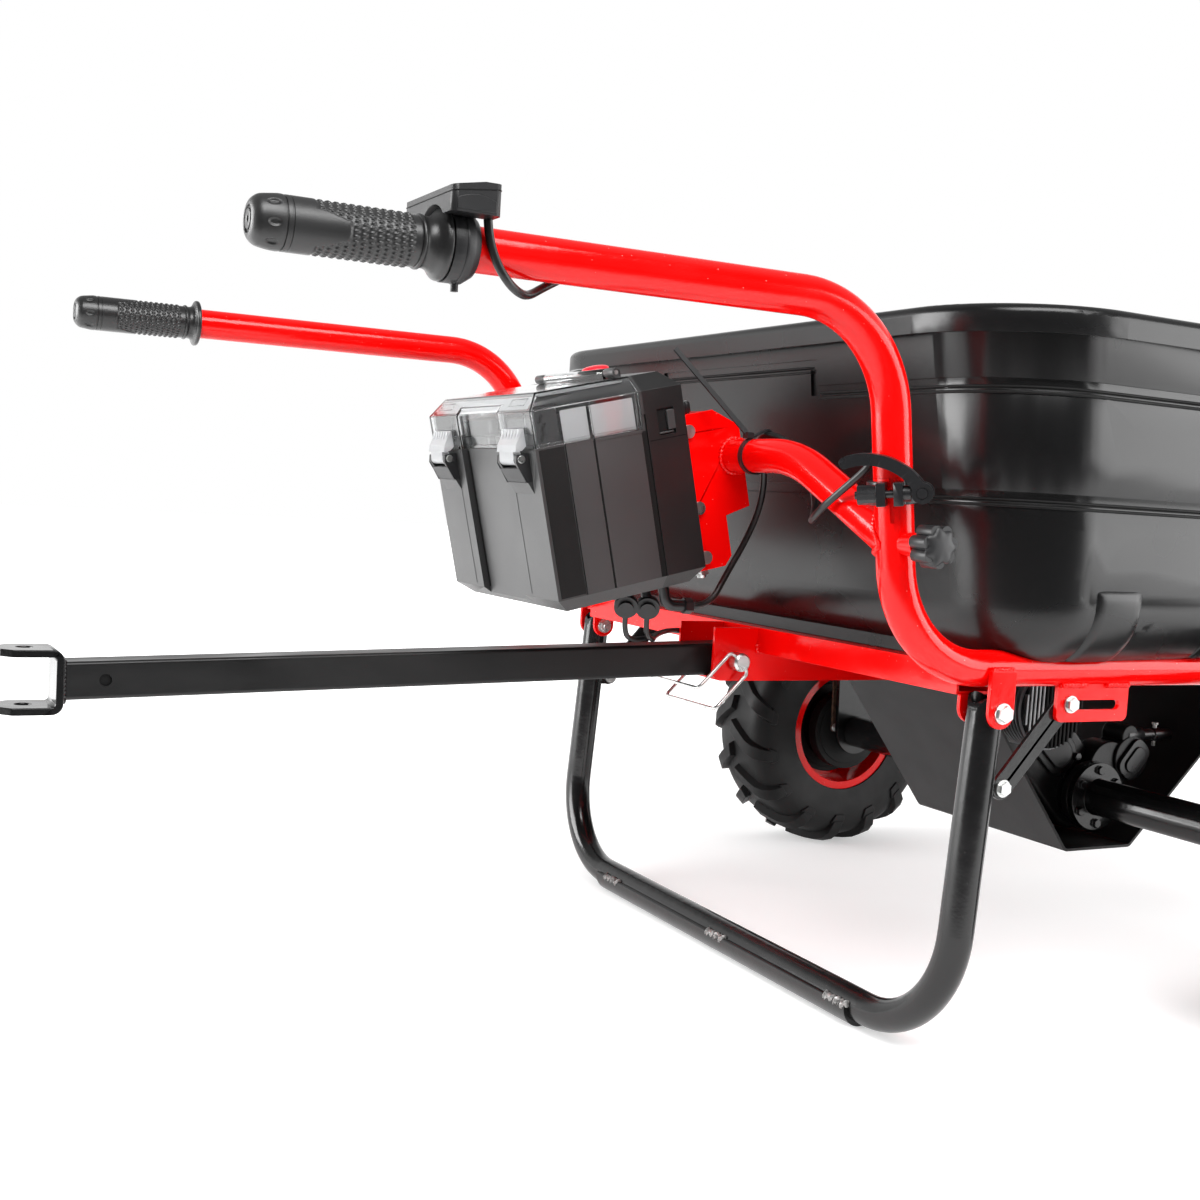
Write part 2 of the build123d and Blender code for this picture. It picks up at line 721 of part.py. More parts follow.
# Control box across the top of the throttle housing, with its face tipped to the driver
panel_rear = stem_x - collar_front - 8.0
panel_front = panel_rear + 34.0
panel_width = 84.0
panel_inward = 9.0
panel_low = handle_height + 16.8
panel_heights = (16.0, 20.0)
panel_corner = 4.0
with BuildPart() as control_box:
    with BuildSketch(Plane.XZ.offset(half_spacing - panel_inward)):
        with BuildLine():
            Polyline((panel_rear, panel_low), (panel_front, panel_low),
                     (panel_front, panel_low + panel_heights[1]),
                     (panel_front - 12, panel_low + panel_heights[1]),
                     (panel_rear, panel_low + panel_heights[0]), close=True)
        make_face()
    extrude(amount=panel_width / 2, both=True)
    fillet(control_box.edges().filter_by(Axis.Z), panel_corner)
    with BuildSketch(Plane((panel_rear, -half_spacing, handle_height), z_dir=(1, 0, 0))):
        Circle(housing_d / 2)
    extrude(amount=panel_front - panel_rear, mode=Mode.SUBTRACT)
    with BuildSketch(Plane((panel_rear, -half_spacing, handle_height), z_dir=(1, 0, 0))):
        Circle(collar_d / 2 + 1.5)
    extrude(amount=housing_start - panel_rear, mode=Mode.SUBTRACT)
save(control_box, "control_box")

# Clamp collars round the tops of the uprights
clamp_d = 40.0
clamp_width = 18.0
ear_reach = 32.0
ear_thick = 7.0
ear_gap = 6.0
clamp_bolt_d = 6.0
clamp_bolt_out = 25.0
with BuildPart() as clamp_right:
    with BuildSketch(clamp_frame.offset(-clamp_width / 2)):
        Circle(clamp_d / 2)
        with Locations((ear_reach / 2, 0)):
            Rectangle(ear_reach, ear_gap + 2 * ear_thick)
        Circle(tube_r, mode=Mode.SUBTRACT)
        with Locations((ear_reach / 2, 0)):
            Rectangle(ear_reach, ear_gap, mode=Mode.SUBTRACT)
    extrude(amount=clamp_width)
    bolt_axis = Plane(clamp_frame.from_local_coords((clamp_bolt_out, 0, 0)), z_dir=clamp_frame.y_dir)
    with BuildSketch(bolt_axis):
        Circle(clamp_bolt_d / 2 + 0.1)
    extrude(amount=ear_reach, both=True, mode=Mode.SUBTRACT)
save(clamp_right, "clamp_right")
save_mirrored(clamp_right, "clamp_left")

# Clamp bolts: knurled nut at one end, cross pin for the cam lever at the other
pivot_out = 24.0
cross_pin_d = 8.0
lever_half = 7.0
fork_half = 3.6
nut_length = 14.0
saddle_d = 12.0
lever_boss = 8.0
ear_face = ear_gap / 2 + ear_thick
with BuildPart() as clamp_bolts:
    with BuildSketch(bolt_axis.offset(-ear_face - nut_length - 2)):
        Circle(clamp_bolt_d / 2)
    extrude(amount=ear_face + nut_length + 2 + pivot_out)
    with BuildSketch(bolt_axis.offset(-ear_face - nut_length)):
        RegularPolygon(7.4, 12)
    extrude(amount=nut_length)
    with BuildSketch(bolt_axis.offset(ear_face)):
        Circle(saddle_d / 2)
    extrude(amount=pivot_out - ear_face - lever_boss - 0.5)
    with BuildSketch(Plane(bolt_axis.offset(pivot_out).origin, z_dir=clamp_frame.x_dir)):
        Circle(cross_pin_d / 2)
    extrude(amount=lever_half + 1, both=True)
    mirror(about=Plane.XZ)
save(clamp_bolts, "clamp_bolts")

# Cam levers: forked round the bolt, curved over the clamp
lever_frame = Plane(bolt_axis.offset(pivot_out).origin, x_dir=-clamp_frame.y_dir, z_dir=-clamp_frame.x_dir)
lever_width = 9.0
with BuildPart() as cam_lever_right:
    with BuildSketch(lever_frame):
        with BuildLine(mode=Mode.PRIVATE):
            lever_arc = ThreePointArc((0, 0), (15, 18), (56, 25))
        SlotArc(lever_arc, lever_width)
        Circle(lever_boss)
        Circle(cross_pin_d / 2 + turn_fit, mode=Mode.SUBTRACT)
    extrude(amount=lever_half, both=True)
    with BuildSketch(lever_frame):
        Circle(lever_boss + 5)
    extrude(amount=fork_half, both=True, mode=Mode.SUBTRACT)
save(cam_lever_right, "cam_lever_right")
save_mirrored(cam_lever_right, "cam_lever_left")

# Star knobs screwed into the uprights' bosses
knob_near = 35.0
knob_far = 52.0
knob_d = 33.0
knob_lobe_d = 10.0
knob_lobes = 7
hub_d = 15.0
stud_tip = tube_r - tube_wall + 0.1
with BuildPart() as star_knob_right:
    with BuildSketch(knob_frame.offset(knob_near)):
        Circle((knob_d - knob_lobe_d) / 2)
        with PolarLocations((knob_d - knob_lobe_d) / 2, knob_lobes):
            Circle(knob_lobe_d / 2)
    extrude(amount=knob_far - knob_near)
    with BuildSketch(knob_frame.offset(boss_reach + turn_fit)):
        Circle(hub_d / 2)
    extrude(amount=knob_near - boss_reach)
    with BuildSketch(knob_frame.offset(stud_tip)):
        Circle(stud_d / 2)
    extrude(amount=knob_near - stud_tip)
save(star_knob_right, "star_knob_right")
save_mirrored(star_knob_right, "star_knob_left")

# Battery arm: bent tube from the right upright to the battery bracket
arm_start = stem_point(knob_height)
arm_x = arm_start.X
with BuildPart() as battery_arm:
    add(swept((arm_start, (arm_x, arm_corner_y, arm_height), (arm_x, arm_end_y, arm_height)), arm_radius,
              tube_d, tube_bore))
    with BuildSketch(Plane(stem_point(base_height + bend_radius / 2), z_dir=stem_up)):
        Circle(tube_r)
    extrude(amount=split_height - base_height, mode=Mode.SUBTRACT)
save(battery_arm, "battery_arm")

# Battery box, in its own tipped frame: local X forward, local Z up, origin under its middle
tilt = math.radians(box_tilt)
box_frame = Plane((stem_x + box_ahead, box_aside, box_low), x_dir=(math.cos(tilt), 0, math.sin(tilt)),
                  z_dir=(-math.sin(tilt), 0, math.cos(tilt)))
box_middle = Plane.XZ.offset(-box_aside)
box_up = Axis(box_frame.origin, box_frame.z_dir)
box_fore = Axis(box_frame.origin, box_frame.x_dir)
half_depth = box_depth / 2
half_width = box_width / 2
cap_rear = half_depth - cap_depth
lid_front = cap_rear - 0.5
box_floor = 6.0
cap_top = 4.0


def side_frame(y):
    """Upright plane along the battery box, seen from the right, at a distance from its middle."""
    return Plane(box_frame.from_local_coords((0, y, 0)), x_dir=box_frame.x_dir, z_dir=(0, -1, 0))


def box_point(x, y, z):
    """Point in the battery box's own frame."""
    return box_frame.from_local_coords(Vector(x, y, z))


hinge_x = cap_rear
hinge_z = box_top + hinge_radius + turn_fit
knuckle_half = 60.0
lug_width = 18.0
hinge_pin_d = 4.0
latch_pin_x = -half_depth - latch_proud
latch_pin_z = box_split - 7.0
cheek = 4.5
button_x = cap_rear + cap_depth / 2
button_y = 0.0
pocket = (54.5, 145.0)
pocket_size = (16.5, 23.0)
pocket_depth = 2.0
button_d = 22.0
button_flange = 2.0
line_depth = 1.5
with BuildPart() as box_room:
    with BuildSketch(box_frame.offset(box_floor)):
        Rectangle(box_depth - 2 * foot_chamfer, box_width - 2 * foot_chamfer)
    extrude(amount=foot_chamfer)
    with BuildSketch(box_frame.offset(foot_chamfer + box_wall)):
        Rectangle(box_depth - 2 * box_wall, box_width - 2 * box_wall)
    extrude(amount=box_split - foot_chamfer - box_wall)
    with BuildSketch(box_frame):
        with Locations((-half_depth, 0)):
            Rectangle(2 * (recess_depth + box_wall), 2 * (recess_half + box_wall))
    extrude(amount=box_top, mode=Mode.SUBTRACT)
    with BuildSketch(box_frame.offset(box_split - 1)):
        with Locations((cap_rear + cap_depth / 2, 0)):
            Rectangle(cap_depth - 2 * box_wall, box_width - 2 * lid_chamfer)
    extrude(amount=box_top - cap_top - box_split + 1)
with BuildPart() as battery_box:
    with BuildSketch(box_frame):
        Rectangle(box_depth, box_width)
    extrude(amount=box_split)
    chamfer(battery_box.faces().sort_by(box_up)[0].edges(), foot_chamfer)
    with BuildSketch(box_frame.offset(box_split)):
        with Locations((cap_rear + cap_depth / 2, 0)):
            Rectangle(cap_depth, box_width)
    extrude(amount=box_top - box_split)
    chamfer(battery_box.faces().sort_by(box_up)[-1].edges().sort_by(box_fore)[1:], lid_chamfer)
    with BuildSketch(box_frame):
        with Locations((-half_depth, 0)):
            Rectangle(2 * recess_depth, 2 * recess_half)
    extrude(amount=box_top, mode=Mode.SUBTRACT)
    add(box_room, mode=Mode.SUBTRACT)
    for line_x, line_width in ((-46, 1.5), (-18, 2), (cap_rear + 0.5, 6)):
        for side in (-1, 1):
            with BuildSketch(side_frame(-half_width * side)):
                with Locations((line_x, box_split / 2 + foot_chamfer)):
                    Rectangle(line_width, box_split)
            extrude(amount=-line_depth * side, mode=Mode.SUBTRACT)
    with BuildSketch(side_frame(-half_width)):
        with Locations(pocket):
            Rectangle(*pocket_size)
    extrude(amount=-pocket_depth, mode=Mode.SUBTRACT)
    for side in (-1, 1):
        with BuildSketch(side_frame(side * latch_y)):
            with BuildLine():
                Polyline((-half_depth + 1, box_split - 38), (-half_depth + 1, box_split - 3),
                         (latch_pin_x - 3.5, box_split - 3), (latch_pin_x - 5, box_split - 9),
                         (-half_depth, box_split - 38), close=True)
            make_face()
        extrude(amount=latch_width / 2, both=True)
        with BuildSketch(side_frame(side * latch_y)):
            with Locations((latch_pin_x, latch_pin_z)):
                Rectangle(2 * (latch_proud - 1), 14)
        extrude(amount=latch_width / 2 - cheek, both=True, mode=Mode.SUBTRACT)
        with BuildSketch(side_frame(side * latch_y)):
            with Locations((latch_pin_x, latch_pin_z)):
                Circle(latch_pin_d / 2)
        extrude(amount=latch_width, both=True, mode=Mode.SUBTRACT)
        with BuildSketch(side_frame(side * (knuckle_half + turn_fit + lug_width / 2))):
            with Locations((hinge_x, hinge_z)):
                Circle(hinge_radius)
            with Locations((hinge_x + hinge_radius / 2, (hinge_z + box_top) / 2 - 0.5)):
                Rectangle(hinge_radius, hinge_z - box_top + 1)
            with Locations((hinge_x, hinge_z)):
                Circle(hinge_pin_d / 2, mode=Mode.SUBTRACT)
        extrude(amount=lug_width / 2, both=True)
    with BuildSketch(box_frame.offset(box_top - 2 * cap_top)):
        with Locations((button_x, button_y)):
            Circle(button_d / 2 + turn_fit)
    extrude(amount=3 * cap_top, mode=Mode.SUBTRACT)
save(battery_box, "battery_box")

# Clear lid: a hood open at the front, hinged on the fixed cap
lid_depth = half_depth + lid_front
lid_middle = (lid_front - half_depth) / 2
lid_height = box_top - box_split - seat_gap
with BuildPart() as lid_hollow_block:
    with BuildSketch(box_frame.offset(box_split + seat_gap)):
        with Locations((lid_middle + lid_wall, 0)):
            Rectangle(lid_depth, box_width - 2 * lid_wall)
    extrude(amount=lid_height - lid_wall)
    chamfer(lid_hollow_block.faces().sort_by(box_up)[-1].edges().sort_by(box_fore)[:-1],
            lid_chamfer - 0.6 * lid_wall)
    with BuildSketch(box_frame):
        with Locations((-half_depth, 0)):
            Rectangle(2 * (recess_depth + lid_wall), 2 * (recess_half + lid_wall))
    extrude(amount=box_top, mode=Mode.SUBTRACT)
with BuildPart() as box_lid:
    with BuildSketch(box_frame.offset(box_split + seat_gap)):
        with Locations((lid_middle, 0)):
            Rectangle(lid_depth, box_width)
    extrude(amount=lid_height)
    chamfer(box_lid.faces().sort_by(box_up)[-1].edges().sort_by(box_fore)[:-1], lid_chamfer)
    with BuildSketch(box_frame):
        with Locations((-half_depth, 0)):
            Rectangle(2 * recess_depth, 2 * recess_half)
    extrude(amount=box_top, mode=Mode.SUBTRACT)
    add(lid_hollow_block, mode=Mode.SUBTRACT)
    with BuildSketch(side_frame(0)):
        with Locations((hinge_x, hinge_z)):
            Circle(hinge_radius)
        with Locations((hinge_x - hinge_radius / 2 - 0.5, (hinge_z + box_top) / 2 - 0.5)):
            Rectangle(hinge_radius - 1, hinge_z - box_top + 1)
        with Locations((hinge_x, hinge_z)):
            Circle(hinge_pin_d / 2 + turn_fit, mode=Mode.SUBTRACT)
    extrude(amount=knuckle_half, both=True)
save(box_lid, "box_lid")

# Latch levers at the rear of the lid, and the pins of the latches and of the lid
with BuildPart() as latch_right:
    with BuildSketch(side_frame(-latch_y)):
        with Locations((latch_pin_x, latch_pin_z)):
            Circle(5)
        with BuildLine():
            Polyline((latch_pin_x - 5, latch_pin_z), (latch_pin_x - 4, box_split + 1),
                     (latch_pin_x + 2, box_split + 1), (latch_pin_x + 3, latch_pin_z + 3), close=True)
        make_face()
        with Locations((latch_pin_x, latch_pin_z)):
            Circle(latch_pin_d / 2 + turn_fit, mode=Mode.SUBTRACT)
    extrude(amount=latch_width / 2 - cheek - 0.5, both=True)
    with BuildSketch(side_frame(-latch_y)):
        with BuildLine():
            Polyline((latch_pin_x - 4.2, box_split), (latch_pin_x - 2.4, box_split + 6),
                     (-half_depth - 2, box_split + latch_rise), (-half_depth - 1, box_split + latch_rise),
                     (-half_depth - 1, box_split + 3), (latch_pin_x + 2, box_split), close=True)
        make_face()
    extrude(amount=latch_width / 2, both=True)
save(latch_right, "latch_right")
with BuildPart() as latch_left:
    mirror(latch_right.part, about=box_middle)
save(latch_left, "latch_left")

with BuildPart() as box_pins:
    add(rod(box_point(hinge_x, -knuckle_half - lug_width, hinge_z),
            box_point(hinge_x, knuckle_half + lug_width, hinge_z), hinge_pin_d))
    for side in (-1, 1):
        add(rod(box_point(latch_pin_x, side * latch_y - latch_width / 2, latch_pin_z),
                box_point(latch_pin_x, side * latch_y + latch_width / 2, latch_pin_z), latch_pin_d))
save(box_pins, "box_pins")

# Battery packs standing in the box
pack_x = lid_middle + 1.0
pack_y = (pack_gap + pack_size[1]) / 2
with BuildPart() as battery_packs:
    with BuildSketch(box_frame.offset(box_floor)):
        with Locations((pack_x, -pack_y)):
            RectangleRounded(pack_size[0], pack_size[1], 6)
    extrude(amount=pack_size[2] - 14)
    with BuildSketch(box_frame.offset(box_floor + pack_size[2] - 14)):
        with Locations((pack_x, -pack_y)):
            RectangleRounded(pack_size[0] - 16, pack_size[1] - 24, 6)
    extrude(amount=14)
    mirror(about=box_middle)
save(battery_packs, "battery_packs")

# Red power button in the top of the cap
button_rise = 7.0
with BuildPart() as power_button:
    with BuildSketch(box_frame.offset(box_top - cap_top - 2 * button_flange - 0.3)):
        with Locations((button_x, button_y)):
            Circle(button_d / 2 + button_flange)
    extrude(amount=2 * button_flange)
    with BuildSketch(box_frame.offset(box_top - cap_top - button_flange)):
        with Locations((button_x, button_y)):
            Circle(button_d / 2)
    extrude(amount=cap_top + button_flange + button_rise)
    fillet(power_button.faces().sort_by(box_up)[-1].edges(), 2)
save(power_button, "power_button")

# Battery bracket: channel behind the box, with a wing on the right that meets the arm
bracket_low = 5.0
bracket_high = 146.0
bracket_half = 100.0
bracket_right = -bracket_half - box_aside
bracket_left = bracket_half - box_aside
wing_reach = 139.0
flange_reach = 113.0
rod_x = 90.0
rod_y = bracket_right + 16.0
rod_d = 8.0
screw_x = 84.0
screw_heights = (17.0, 62.0, 131.0)
screw_d = 6.0
with BuildPart() as battery_bracket:
    with BuildSketch(box_frame.offset(bracket_low)):
        with Locations((half_depth + bracket_plate / 2, -box_aside)):
            Rectangle(bracket_plate, 2 * bracket_half)
    extrude(amount=bracket_high - bracket_low)
    with BuildSketch(side_frame(bracket_right)):
        with BuildLine():
            Polyline((half_depth, bracket_low), (flange_reach - 8, bracket_low), (flange_reach, bracket_low + 8),
                     (flange_reach, 50), (wing_reach, 54), (wing_reach, 128), (flange_reach, bracket_high),
                     (half_depth, bracket_high), close=True)
        make_face()
        with Locations(*((screw_x, height) for height in screw_heights)):
            Circle(screw_d / 2, mode=Mode.SUBTRACT)
    extrude(amount=bracket_plate)
    with BuildSketch(side_frame(bracket_left + bracket_plate)):
        with Locations(((half_depth + flange_reach - 10) / 2, (bracket_low + bracket_high) / 2)):
            Rectangle(flange_reach - 10 - half_depth, bracket_high - bracket_low)
    extrude(amount=bracket_plate)
    for height in (bracket_low, bracket_high - bracket_plate):
        with BuildSketch(box_frame.offset(height)):
            with Locations(((half_depth + flange_reach - 6) / 2, (rod_y + bracket_right) / 2 + 4)):
                Rectangle(flange_reach - 6 - half_depth, rod_y - bracket_right + 8)
            with Locations((rod_x, rod_y)):
                Circle(rod_d / 2, mode=Mode.SUBTRACT)
        extrude(amount=bracket_plate)
save(battery_bracket, "battery_bracket")

screw_head = 4.0
with BuildPart() as bracket_bolts:
    add(rod(box_point(rod_x, rod_y, bracket_low - 9), box_point(rod_x, rod_y, bracket_high + 2), rod_d))
    add(rod(box_point(rod_x, rod_y, bracket_high), box_point(rod_x, rod_y, bracket_high + 11), 2 * rod_d))
    add(hexagon_rod(box_point(rod_x, rod_y, bracket_low), box_point(rod_x, rod_y, bracket_low - 6), 13))
    for height in screw_heights:
        outside = bracket_right - bracket_plate
        add(rod(box_point(screw_x, outside, height), box_point(screw_x, outside - screw_head, height),
                2 * screw_d))
        add(rod(box_point(screw_x, outside, height), box_point(screw_x, bracket_right + 6, height), screw_d))
        add(hexagon_rod(box_point(screw_x, bracket_right, height), box_point(screw_x, bracket_right + 5, height),
                        10))
save(bracket_bolts, "bracket_bolts")

# Cable gland and capped sockets under the box
gland_x = 45.0
gland_y = bracket_right + 10.0
gland_d = 10.0
gland_drop = 20.0
gland_end = box_point(gland_x, gland_y, -gland_drop) + Vector(26, 0, 0)
with BuildPart() as cable_gland:
    add(swept((box_point(gland_x, gland_y, 0), box_point(gland_x, gland_y, -gland_drop), gland_end), 10,
              gland_d))
    add(hexagon_rod(gland_end - Vector(8, 0, 0), gland_end, gland_d + 3))
save(cable_gland, "cable_gland")

socket_y = gland_y + 25.0
socket_places = ((18.0, -17.0), (40.0, -23.0))
socket_d = 22.0
socket_neck_d = 9.0
socket_cap = 7.0
lead_drop = 17.0
socket_face = Vector(-0.42, -0.80, -0.42).normalized()
socket_down = (Vector(0, 0, -1) + socket_face * socket_face.Z).normalized()
with BuildPart() as lead_sockets:
    for socket_x, socket_z in socket_places:
        middle = box_point(socket_x, socket_y, socket_z)
        add(rod(box_point(socket_x, socket_y, 0), middle, socket_neck_d))
        add(rod(middle - socket_face * socket_cap / 2, middle + socket_face * socket_cap / 2, socket_d))
        add(rod(middle, middle + socket_face * socket_cap, socket_d - 8))
save(lead_sockets, "lead_sockets")

# Hitch bracket: open channel under the rear beam, with two cheeks for the hitch pin
pin_x = stem_x + pin_ahead
cheek_round = 10.0
with BuildPart() as hitch_bracket:
    with BuildSketch(Plane.XZ) as cheek_outline:
        with BuildLine():
            Polyline((stem_x + hitch_rear, hitch_low - hitch_sheet), (stem_x + hitch_front, hitch_low - hitch_sheet),
                     (stem_x + hitch_front, beam_top - beam_height),
                     (stem_x + rear_beam_ahead, beam_top - beam_height),
                     (stem_x + rear_beam_ahead, hitch_top), (stem_x + hitch_rear, hitch_top), close=True)
        make_face()
        fillet(cheek_outline.vertices().sort_by(Axis.X)[:2].sort_by(Axis.Z)[-1], cheek_round)
    extrude(amount=hitch_half, both=True)
    with BuildSketch(Plane.XY.offset(hitch_low)):
        with Locations((stem_x, 0)):
            Rectangle(2 * hitch_front + 2, 2 * (hitch_half - hitch_sheet))
    extrude(amount=hitch_top - hitch_low, mode=Mode.SUBTRACT)
    with BuildSketch(Plane.XZ):
        with Locations((pin_x, pin_height)):
            Circle(pin_d / 2 + slide_fit)
    extrude(amount=2 * hitch_half, both=True, mode=Mode.SUBTRACT)
save(hitch_bracket, "hitch_bracket")

# Tow bar: square tube that slopes down to the rear, with the clevis on its end
slope = math.radians(bar_slope)
bar_along = Vector(math.cos(slope), 0, math.sin(slope))
bar_rear_height = pin_height + (bar_rear - pin_ahead) * math.tan(slope)
bar_end = Vector(stem_x + bar_rear, 0, bar_rear_height)
bar_length = (bar_front - bar_rear) / math.cos(slope)
bar_hole_d = 10.0
bar_hole_in = 33.0
with BuildPart() as tow_bar:
    with BuildSketch(Plane(bar_end, x_dir=(0, 1, 0), z_dir=bar_along)):
        RectangleRounded(bar_size, bar_size, 3)
        RectangleRounded(bar_size - 2 * bar_wall, bar_size - 2 * bar_wall, 1, mode=Mode.SUBTRACT)
    extrude(amount=bar_length)
    with BuildSketch(Plane.XZ):
        with Locations((pin_x, pin_height)):
            Circle(pin_d / 2 + slide_fit)
        with Locations((bar_end.X + bar_hole_in, bar_end.Z + bar_hole_in * math.tan(slope))):
            Circle(bar_hole_d / 2)
    extrude(amount=bar_size, both=True, mode=Mode.SUBTRACT)
    with BuildSketch(Plane((bar_end.X - bar_size, 0, bar_end.Z), z_dir=(1, 0, 0))):
        Rectangle(2 * bar_size, 2 * bar_size)
    extrude(amount=bar_size, mode=Mode.SUBTRACT)
save(tow_bar, "tow_bar")

clevis_rear = stem_x - rear_reach
clevis_bend = 3.0
clevis_chamfer = 9.0
with BuildPart() as clevis:
    with BuildSketch(Plane.XZ):
        with BuildLine():
            FilletPolyline((clevis_rear, bar_end.Z + clevis_gap / 2),
                           (bar_end.X - clevis_thick, bar_end.Z + clevis_gap / 2),
                           (bar_end.X - clevis_thick, bar_end.Z - clevis_gap / 2),
                           (clevis_rear, bar_end.Z - clevis_gap / 2), radius=clevis_bend)
            offset(amount=clevis_thick, side=Side.LEFT)
        make_face()
    extrude(amount=clevis_width / 2, both=True)
    chamfer(clevis.edges().filter_by(Axis.Z).group_by(Axis.X)[0], clevis_chamfer)
    with BuildSketch(Plane.XY.offset(bar_end.Z)):
        with Locations((stem_x - clevis_hole_back, 0)):
            Circle(clevis_hole_d / 2)
    extrude(amount=clevis_gap, both=True, mode=Mode.SUBTRACT)
save(clevis, "clevis")

# Hitch pin, its spacers and the wire bail that keeps it in
head_at = hitch_half + 3.0
head_length = 12.0
head_d = 18.0
head_middle = head_at + head_length / 2
tip_at = hitch_half + 15.0
bail_lie = math.radians(45.0)
bail_down = Vector(-math.cos(bail_lie), 0, -math.sin(bail_lie))
bail_side = Vector(-math.sin(bail_lie), 0, math.cos(bail_lie))
bail_pivot = Vector(pin_x, -head_middle, pin_height)
with BuildPart() as hitch_pin:
    add(turned(((-head_at - head_length, 0), (-head_at - head_length, head_d / 2 - 2),
                (-head_at - head_length + 2, head_d / 2), (-head_at, head_d / 2), (-head_at, pin_d / 2),
                (tip_at - 3, pin_d / 2), (tip_at, pin_d / 2 - 3), (tip_at, 0)),
               (pin_x, 0, pin_height), (0, 1, 0)))
    with BuildSketch(Plane(bail_pivot, z_dir=bail_side)):
        Circle(bail_wire / 2 + turn_fit)
    extrude(amount=head_d, both=True, mode=Mode.SUBTRACT)
save(hitch_pin, "hitch_pin")

spacer_d = 22.0
with BuildPart() as hitch_spacers:
    add(turned(((bar_size / 2, pin_d / 2 + slide_fit), (bar_size / 2, spacer_d / 2),
                (hitch_half - hitch_sheet, spacer_d / 2), (hitch_half - hitch_sheet, pin_d / 2 + slide_fit)),
               (pin_x, 0, pin_height), (0, 1, 0)))
    mirror(about=Plane.XZ)
save(hitch_spacers, "hitch_spacers")

bail_reach = head_middle + tip_at + 3.0
bail_bend = 5.0


def bail_point(across, along, down):
    """Point of the wire bail, from its pivot in the pin's head."""
    return bail_pivot + bail_side * across + Vector(0, along, 0) + bail_down * down


with BuildPart() as hitch_bail:
    add(swept((bail_point(4, 0, 0), bail_point(bail_spread, 0, 0), bail_point(bail_spread, 0, bail_drop),
               bail_point(bail_spread, bail_reach, bail_drop), bail_point(bail_spread, bail_reach, 0),
               bail_point(-bail_spread, bail_reach, 0), bail_point(-bail_spread, bail_reach, bail_drop),
               bail_point(-bail_spread, 0, bail_drop), bail_point(-bail_spread, 0, 0), bail_point(-4, 0, 0)),
              bail_bend, bail_wire))
save(hitch_bail, "hitch_bail")

# Gearbox: housing round the motor's pinion and the axle, with a flanged neck on each side
motor_x = axle_x - motor_behind
neck_radius = 30.0
gearbox_round = 6.0
shaft_room = 1.0
with BuildPart() as gearbox:
    with BuildSketch(Plane.XZ):
        with Locations((axle_x, tyre_radius)):
            Circle(gearbox_radius)
        with Locations((motor_x, motor_height)):
            Circle(motor_radius)
        make_hull()
    extrude(amount=gearbox_half, both=True)
    fillet(gearbox.faces().filter_by(Axis.Y).edges(), gearbox_round)
    add(turned(((-flange_at, 0), (-flange_at, flange_radius), (flange_thick - flange_at, flange_radius),
                (flange_thick - flange_at, neck_radius), (flange_at - flange_thick, neck_radius),
                (flange_at - flange_thick, flange_radius), (flange_at, flange_radius), (flange_at, 0)),
               axle_point, (0, 1, 0)))
    with BuildSketch(Plane.XZ):
        with Locations((axle_x, tyre_radius)):
            Circle(shaft_d / 2 + shaft_room)
    extrude(amount=flange_at, both=True, mode=Mode.SUBTRACT)
save(gearbox, "gearbox")

# Motor: ribbed drum on the right of the gearbox, with a terminal box on top
rib_count = 20
rib_depth = 5.0
rib_width = 2.6
motor_cap = 10.0
terminal_size = (40.0, 32.0, 14.0)
terminal_y = -gearbox_half - 22.0
terminal_z = motor_height + motor_radius + 5.0
rib_start = gearbox_half + motor_cap
rib_end = motor_end - motor_cap
with BuildPart() as motor:
    add(turned(((gearbox_half, 0), (gearbox_half, motor_radius), (rib_start, motor_radius),
                (rib_start, motor_radius - rib_depth), (rib_end, motor_radius - rib_depth),
                (rib_end, motor_radius), (motor_end - 4, motor_radius), (motor_end, motor_radius - 8),
                (motor_end, 0)),
               (motor_x, 0, motor_height), (0, -1, 0)))
    with BuildSketch(Plane((motor_x, -rib_start, motor_height), z_dir=(0, -1, 0))):
        with PolarLocations(motor_radius - rib_depth / 2 - 0.5, rib_count):
            Rectangle(rib_depth, rib_width)
    extrude(amount=rib_end - rib_start)
    with Locations((motor_x, terminal_y, terminal_z)):
        Box(*terminal_size)
save(motor, "motor")

# Axle tubes bolted to the gearbox, and the bearings at their outer ends
tube_bolts = 6
tube_bolt_ring = 29.0
bearing_width = 12.0
with BuildPart() as axle_tubes:
    add(turned(((flange_at, axle_tube_bore / 2), (flange_at, flange_radius),
                (flange_at + flange_thick, flange_radius), (flange_at + flange_thick, axle_tube_d / 2),
                (axle_tube_end, axle_tube_d / 2), (axle_tube_end, axle_tube_bore / 2)),
               axle_point, (0, -1, 0)))
    with BuildSketch(Plane(axle_point - Vector(0, flange_at + flange_thick, 0), z_dir=(0, -1, 0))):
        with PolarLocations(tube_bolt_ring, tube_bolts):
            RegularPolygon(5, 6)
    extrude(amount=4)
    mirror(about=Plane.XZ)
save(axle_tubes, "axle_tubes")

bearing_out = axle_tube_end - 3.0
bearing_in = bearing_out - bearing_width
with BuildPart() as axle_bearings:
    add(turned(((bearing_in, shaft_d / 2 + running_fit), (bearing_in, axle_tube_bore / 2),
                (bearing_out, axle_tube_bore / 2), (bearing_out, shaft_d / 2 + running_fit)),
               axle_point, (0, -1, 0)))
    mirror(about=Plane.XZ)
save(axle_bearings, "axle_bearings")

